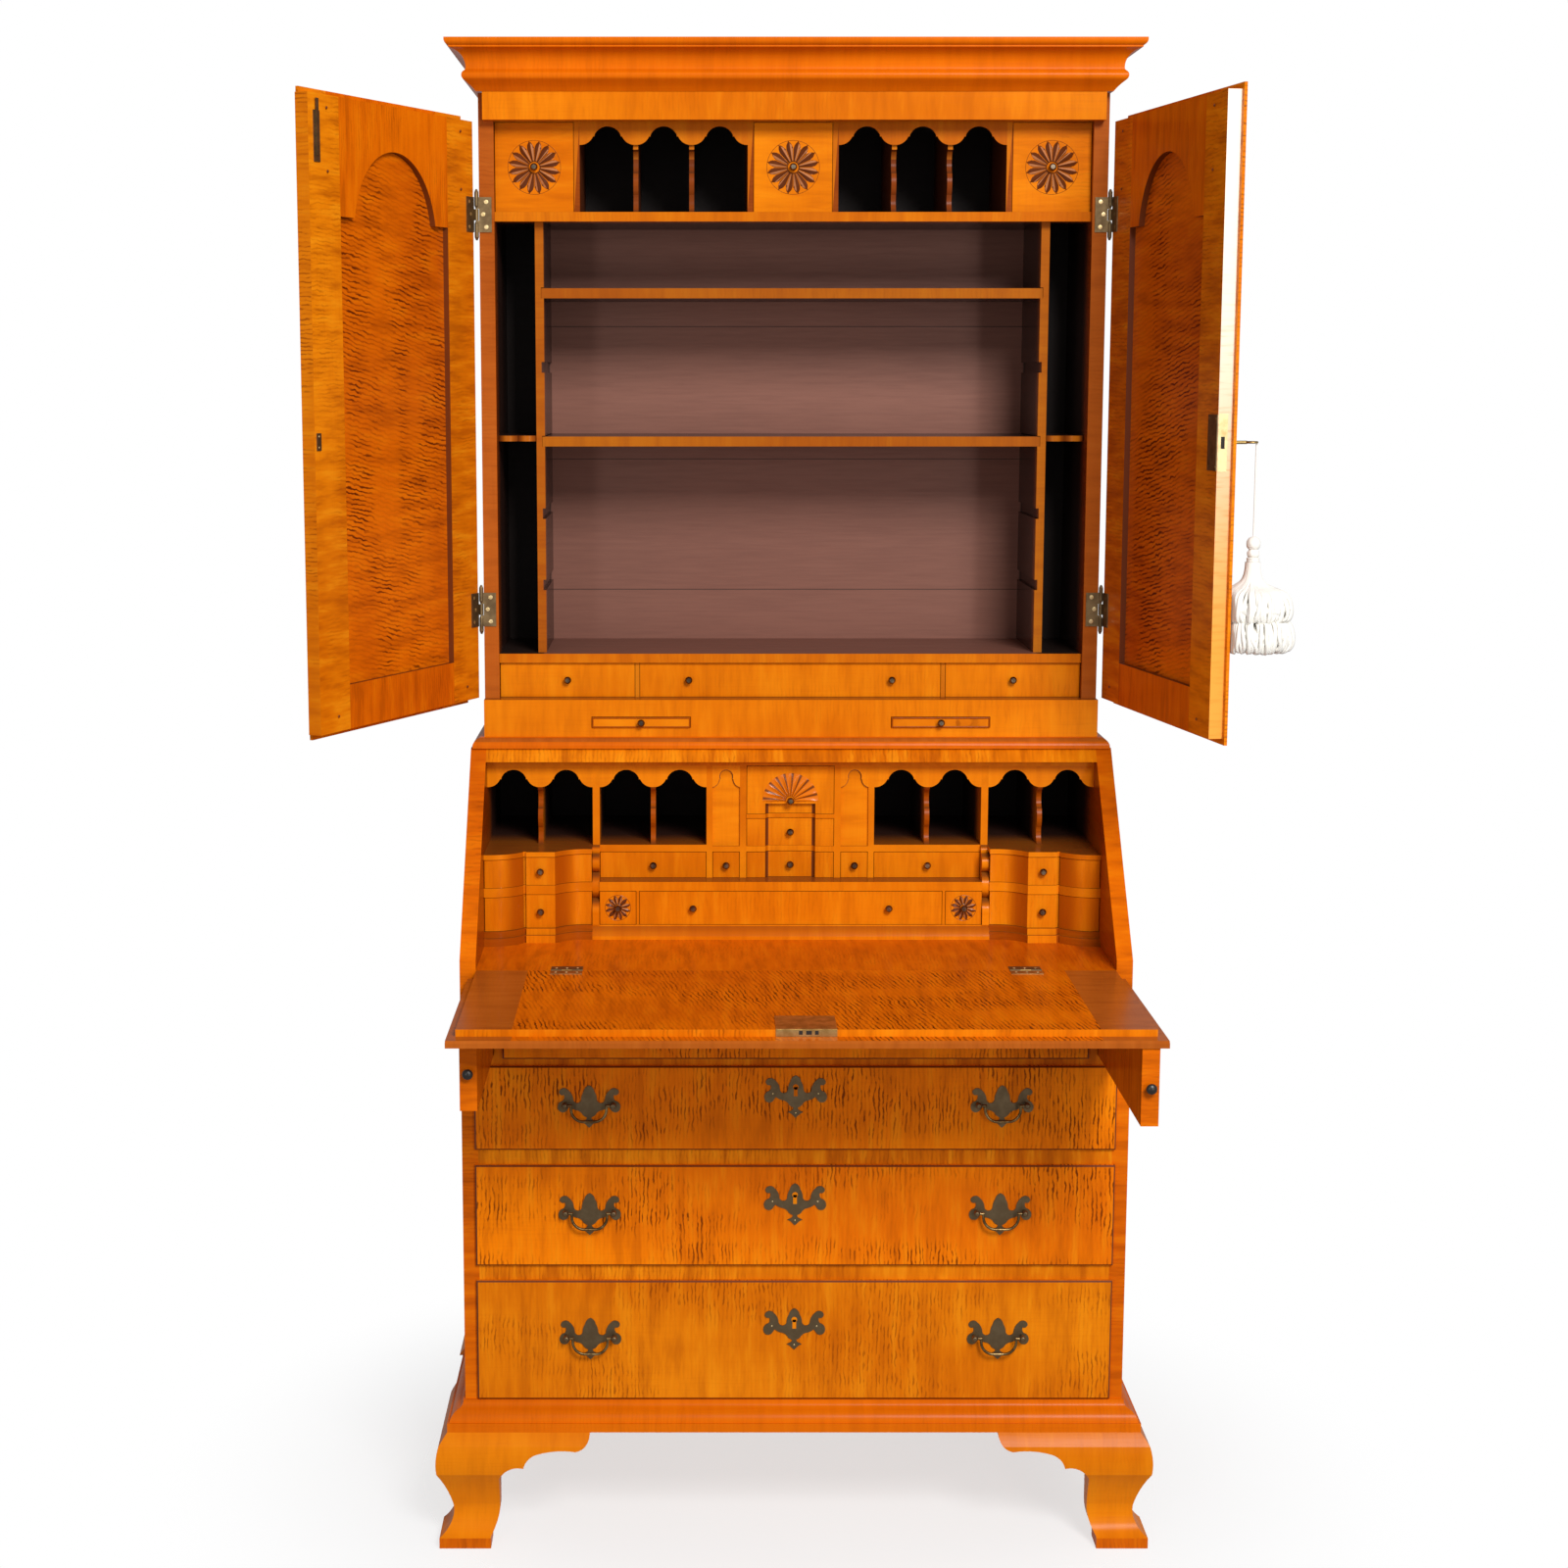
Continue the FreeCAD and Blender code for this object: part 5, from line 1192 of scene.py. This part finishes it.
@dataclass
class Fittings:
    """Keyholes, screws, pins and slots of the brasses. Numbers in tuples are millimetres."""

    palette: Palette
    film: float = 0.3 * MM
    post_reach: float = 17 * MM
    plate_thick: float = 1.6 * MM
    eye_drop: float = 32.6 * MM
    keyhole_radius: float = 3.9 * MM
    keyhole_rise: float = 16.5 * MM
    slit_rise: float = 10 * MM
    slit_wide: float = 5.2 * MM
    slit_high: float = 13 * MM
    pins: tuple[tuple[float, float], ...] = ((-31.0, 7.0), (31.0, 7.0), (0.0, -20.0))
    pin_radius: float = 1.1 * MM
    flush: float = 0.045
    leaf_face: float = -1.9 * MM
    leaf_wide: float = 25 * MM
    case_edge: float = 421.1 * MM
    case_face: float = 7.5 * MM
    hinge_levels: tuple[float, float] = (1282.5, 1834.5)
    hinge_holes: tuple[tuple[float, float], ...] = ((7.6, 17.5), (11.8, 0.5), (7.6, -17.0))
    case_screw: float = 3.1 * MM
    leaf_screw: float = 2.6 * MM
    lock_level: float = 1530 * MM
    lock_holes: tuple[tuple[float, float], ...] = ((413.5, 30), (437.5, 30), (413.5, -30), (437.5, -30))
    strike_holes: tuple[tuple[float, float], ...] = ((432.6, 7), (432.6, -7))
    lock_screw: float = 1.6 * MM
    lock_plate: Place = (0.8, 12.0, 72.0)
    bolt_slot: Place = (1.2, 5.0, 15.0)
    plate_inset: float = -10 * MM
    edge_inset: tuple[float, float] = (-18.0, -2.0)
    fall_rows: tuple[tuple[str, str, float], ...] = (
        ("fall_screws", "fall", -266.0), ("bed_screws", "case", -242.0))
    fall_holes: tuple[float, ...] = (297.0, 311.5, 326.0)
    fall_screw: float = 2.2 * MM
    bed_level: float = 815.75 * MM
    lock_slots: tuple[tuple[float, float], ...] = ((-7.2, 4.7), (3.0, 7.2), (12.7, 4.6))
    lock_edge: tuple[float, float] = (-581.5, 811.2)
    slot_high: float = 5 * MM
    peg_across: tuple[float, ...] = (41.0, 398.0)
    peg_drops: tuple[float, ...] = (24.0, 102.0)
    peg_rise: float = 28 * MM
    peg_radius: float = 2 * MM
    head_radius: float = 7 * MM
    head_sink: float = 3 * MM
    head_rise: float = 0.6
    loper_bead: float = 3 * MM
    slide_bead: float = 2 * MM
    bead_rise: float = 2.4 * MM
    bead_round: float = 0.7 * MM
    line: float = 1.1 * MM
    line_deep: float = 0.6 * MM
    line_sink: float = 0.2 * MM
    narrow_arch: float = 60 * MM
    rear_margin: float = 0.1 * MM
    side_margin: float = 0.3 * MM
    top_margin: float = 1 * MM

    @staticmethod
    def stud(shape: bmesh.types.BMesh, spot: Vector, facing: Vector, radius: float,
             rise: float = 0.38) -> None:
        """Add a low round head.

        Args:
            shape: Mesh that it is added to.
            spot: Middle of its foot.
            facing: Direction that it faces.
            radius: Its radius.
            rise: Its height as a share of the radius.
        """
        turn = facing.to_track_quat("Z", "Y").to_matrix().to_4x4()
        flat = Matrix.Diagonal((1.0, 1.0, rise, 1.0))
        bmesh.ops.create_uvsphere(shape, u_segments=16, v_segments=8, radius=radius,
                                  matrix=Matrix.Translation(spot) @ turn @ flat)

    @staticmethod
    def block(shape: bmesh.types.BMesh, spot: Vector, size: Place) -> None:
        """Add a squared block about a middle point.

        Args:
            shape: Mesh that it is added to.
            spot: Its middle.
            size: Its three sides.
        """
        corners = bmesh.ops.create_cube(shape, size=1.0)["verts"]
        bmesh.ops.scale(shape, vec=size, verts=corners)
        bmesh.ops.translate(shape, vec=spot, verts=corners)

    def keyholes(self) -> None:
        """Wood seen through the keyholes of the long drawers' escutcheons, and the escutcheons' pins."""
        wood = self.palette.boards[(Grain.ALONG_X, Tone.QUIET)]
        radius = self.keyhole_radius
        for drawer in LIPPED:
            level = drawer.removesuffix("_drawer")
            low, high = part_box(f"{drawer}_brasses")
            face = low.y + self.post_reach - self.plate_thick
            middle = high.z - self.eye_drop
            shape = bmesh.new()
            place = Matrix.Translation((0.0, face, middle + self.keyhole_rise))
            bmesh.ops.create_cone(shape, cap_ends=True, segments=24, radius1=radius, radius2=radius,
                                  depth=self.film, matrix=place @ Matrix.Rotation(math.pi / 2, 4, "X"))
            slit = (self.slit_wide, self.film, self.slit_high)
            self.block(shape, Vector((0.0, face, middle + self.slit_rise)), slit)
            new_piece(f"{level}_keyhole", shape, wood, drawer, False)
            shape = bmesh.new()
            for x, rise in self.pins:
                self.stud(shape, Vector((x * MM, face, middle + rise * MM)), FRONT, self.pin_radius)
            new_piece(f"{level}_escutcheon_pins", shape, self.palette.screw, drawer)

    def hinge_screws(self) -> None:
        """Screws of the door hinges, of the doors' plates and of the fall's hinges."""
        case = bmesh.new()
        for door, hang in HANGING.items():
            side, inward = hang.side, hang.inward
            leaf = bmesh.new()
            for level in self.hinge_levels:
                for share, rise in self.hinge_holes:
                    height = (level + rise) * MM
                    spot = Vector((side * (self.case_edge + share * MM), self.case_face, height))
                    self.stud(case, spot, FRONT, self.case_screw, self.flush)
                    foot = hang.point(self.leaf_wide - share * MM, self.leaf_face, height)
                    self.stud(leaf, foot, inward, self.leaf_screw, self.flush)
            for across, rise in self.lock_holes if side > 0 else self.strike_holes:
                foot = hang.point(across * MM, self.leaf_face, self.lock_level + rise * MM)
                self.stud(leaf, foot, inward, self.lock_screw)
            finish = self.palette.screw if side < 0 else self.palette.brass
            new_piece(f"{door}_screws", leaf, finish, door)
        new_piece("hinge_screws", case, self.palette.screw, "case")
        for name, body, y in self.fall_rows:
            shape = bmesh.new()
            for x in self.fall_holes:
                for side in (-1, 1):
                    self.stud(shape, Vector((side * x * MM, y * MM, self.bed_level)), UP, self.fall_screw)
            new_piece(name, shape, self.palette.screw, body)

    def pegs(self) -> None:
        """Wooden pegs through the joints of the doors' frames."""
        for door, hang in HANGING.items():
            low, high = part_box(door)
            levels = [high.z - drop * MM for drop in self.peg_drops] + [low.z + self.peg_rise]
            shape = bmesh.new()
            for across in self.peg_across:
                for z in levels:
                    foot = hang.point(across * MM, self.leaf_face, z)
                    self.stud(shape, foot, hang.inward, self.peg_radius)
            new_piece(f"{door}_pegs", shape, self.palette.edge, door)

    def fall_lock(self) -> None:
        """The slots in the edge plate of the fall's lock, as dark films of painted shade."""
        shape = bmesh.new()
        for x, wide in self.lock_slots:
            self.block(shape, Vector((x, *self.lock_edge)) * MM, (wide * MM, self.film, self.slot_high))
        new_piece("fall_lock_slots", shape, self.palette.hollow, "fall", False)

    def edge_plate(self) -> None:
        """The plate of the door's lock in the free edge, and the slot of its bolt as a dark film of painted
        shade.
        """
        hang = HANGING["right_door"]
        rear, front = (inset * MM for inset in self.edge_inset)
        faces = [p.center for p in NODES["right_door"].data.polygons
                 if hang.free_way.dot(p.normal) > self.palette.square]
        reach = max(hang.across(spot) for spot in faces if rear < hang.inset(spot) < front)
        turn = Matrix((hang.free_way, hang.inward, UP)).transposed()
        middle = hang.point(reach, self.plate_inset, self.lock_level)
        for part, finish, size in (("plate", self.palette.screw, self.lock_plate),
                                   ("slot", self.palette.hollow, self.bolt_slot)):
            shape = bmesh.new()
            self.block(shape, Vector(), tuple(length * MM for length in size))
            bmesh.ops.rotate(shape, matrix=turn, verts=shape.verts[:])
            bmesh.ops.translate(shape, vec=middle, verts=shape.verts[:])
            new_piece(f"door_lock_edge_{part}", shape, finish, "right_door", False)

    def loper_knobs(self) -> None:
        """The wide black heads of the lopers' knobs."""
        for side in ("left", "right"):
            mesh = NODES[f"{side}_loper"].data
            boxes = [extent(mesh, group) for group in solids_of(mesh)]
            low, high = min(boxes, key=lambda box: max(box[1] - box[0]))
            shape = bmesh.new()
            spot = Vector(((low.x + high.x) / 2, low.y + self.head_sink, (low.z + high.z) / 2))
            self.stud(shape, spot, FRONT, self.head_radius, self.head_rise)
            new_piece(f"{side}_loper_knob", shape, self.palette.black, f"{side}_loper")

    def bead_frame(self, name: str, bead: float) -> None:
        """Thin beads round the front of a board that slides.

        Args:
            name: CAD node of the board.
            bead: Width of the beads in metres.
        """
        mesh = NODES[name].data
        boxes = [extent(mesh, group) for group in solids_of(mesh)]
        low, high = max(boxes, key=lambda box: max(box[1] - box[0]))
        middle, wide, tall = (low + high) / 2, high.x - low.x, high.z - low.z
        shape = bmesh.new()
        for way in (-1, 1):
            upright = Vector((middle.x + way * (wide - bead) / 2, low.y, middle.z))
            self.block(shape, upright, (bead, self.bead_rise, tall))
            level = Vector((middle.x, low.y, middle.z + way * (tall - bead) / 2))
            self.block(shape, level, (wide - 2 * bead, self.bead_rise, bead))
        bmesh.ops.bevel(shape, geom=shape.edges[:], offset=self.bead_round, affect="EDGES", segments=2,
                        profile=0.5, material=-1)
        wood = self.palette.boards[(Grain.ALONG_Z, Tone.SHADED)]
        new_piece(f"{name}_border", shape, wood, name, False)

    def arch_lines(self) -> None:
        """Painted shadow lines: dark strips under the arches over the gallery's two narrow panels."""
        mesh = NODES["gallery_valances"].data
        shape = bmesh.new()
        wide = self.line
        for group in solids_of(mesh):
            low, high = extent(mesh, group)
            if high.x - low.x > self.narrow_arch:
                continue
            for polygon in (mesh.polygons[p] for p in group):
                middle, normal = polygon.center, polygon.normal
                corners = [mesh.vertices[i].co for i in polygon.vertices]
                rear = [corner for corner in corners if corner.y > high.y - self.rear_margin]
                side = min(middle.x - low.x, high.x - middle.x)
                outer = side < self.side_margin or middle.z > high.z - self.top_margin
                if len(rear) != 2 or abs(normal.y) > 0.5 or outer:
                    continue
                spot = (rear[0] + rear[1]) / 2 + normal * (wide / 2)
                spot.y = high.y - self.line_sink
                run = rear[1] - rear[0]
                self.block(shape, spot, (max(wide, abs(run.x)), self.line_deep, max(wide, abs(run.z))))
        new_piece("gallery_arch_shadow_lines", shape, self.palette.edge, "case", False)

    def build(self) -> None:
        """Make every fitting."""
        self.arch_lines()
        self.keyholes()
        self.loper_knobs()
        for side in ("left", "right"):
            self.bead_frame(f"{side}_loper", self.loper_bead)
            self.bead_frame(f"{side}_candle_slide", self.slide_bead)
        self.edge_plate()
        self.hinge_screws()
        self.pegs()
        self.fall_lock()


@dataclass(frozen=True)
class Lamp:
    """A rectangular soft light: where it stands, the point it looks at, its two sides and its watts."""

    name: str
    place: Place
    aim: Place
    size: tuple[float, float]
    power: float

    def build(self) -> None:
        """Put the light in the scene."""
        light = bpy.data.lights.new(self.name, "AREA")
        light.shape = "RECTANGLE"
        light.size, light.size_y = self.size
        light.energy = self.power
        holder = linked(self.name, light)
        holder.location = self.place
        holder.rotation_euler = (Vector(self.aim) - Vector(self.place)).to_track_quat("-Z", "Y").to_euler()


@dataclass
class Studio:
    """Pale floor, soft lights and the camera at the photograph's angle."""

    palette: Palette
    floor_half: float = 14.0
    floor_drop: float = 0.5 * MM
    eye: Place = (-0.143, -3.761, 1.617)
    pitch: float = math.radians(8.9)
    lens: float = 60.7
    sensor: float = 36.0
    shift: tuple[float, float] = (0.0594, 0.0016)
    ambient: float = 0.31
    lamps: tuple[Lamp, ...] = (
        Lamp("key_light", (1.3, -4.4, 3.9), (0.0, 0.0, 1.0), (1.5, 1.5), 225.0),
        Lamp("left_strip", (-1.7, -4.0, 1.4), (0.0, 0.0, 1.1), (0.35, 1.8), 16.0),
        Lamp("right_strip", (1.7, -4.0, 1.4), (0.0, 0.0, 1.1), (0.35, 1.8), 30.0))

    def floor(self) -> None:
        """A wide plain floor."""
        shape = bmesh.new()
        bmesh.ops.create_grid(shape, x_segments=2, y_segments=2, size=self.floor_half)
        mesh = bpy.data.meshes.new("pale_floor")
        shape.to_mesh(mesh)
        shape.free()
        mesh.materials.append(self.palette.floor)
        piece = linked("pale_floor", mesh)
        piece.location.z = -self.floor_drop

    def sky(self) -> None:
        """White surroundings that light the object less than they show."""
        world = bpy.data.worlds.new("white_studio")
        world.use_nodes = True
        tree = world.node_tree
        sky = tree.nodes["Background"]
        sky.inputs[0].default_value = (1.0, 1.0, 1.0, 1.0)
        seen = tree.nodes.new("ShaderNodeLightPath")
        level = tree.nodes.new("ShaderNodeMapRange")
        level.inputs["To Min"].default_value = self.ambient
        level.inputs["To Max"].default_value = 1.0
        tree.links.new(seen.outputs["Is Camera Ray"], level.inputs["Value"])
        tree.links.new(level.outputs[0], sky.inputs[1])
        bpy.context.scene.world = world

    def camera(self) -> None:
        """The camera at the photograph's angle."""
        camera = bpy.data.cameras.new("camera")
        camera.lens = self.lens
        camera.sensor_width = self.sensor
        camera.shift_x, camera.shift_y = self.shift
        holder = linked("camera", camera)
        holder.location = self.eye
        holder.rotation_euler = (math.pi / 2 - self.pitch, 0.0, 0.0)
        bpy.context.scene.camera = holder

    def build(self) -> None:
        """Set the stage."""
        self.floor()
        self.sky()
        bpy.context.scene.view_settings.view_transform = "Standard"
        for lamp in self.lamps:
            lamp.build()
        self.camera()


def main() -> None:
    """Build the looks in order."""
    logging.basicConfig(level=logging.INFO)
    palette = Palette()
    Studio(palette).build()
    Carcase(palette).dress()
    for side in ("left", "middle", "right"):
        Carving(palette, f"{side}_rosette_drawer", 36.7 * MM, 16).build()
    for side in ("left", "right"):
        Carving(palette, f"{side}_fan_drawer", 18.2 * MM, 12, fine=8, relief=1.8 * MM, eye=0.32).build()
    Carving(palette, "prospect_fan_drawer", 40 * MM, 10, Ray.HOLLOW, lift=-15 * MM, fine=8, eye=0.16).build()
    Tassel(palette).build()
    Fittings(palette).build()


if __name__ == "__main__":
    main()
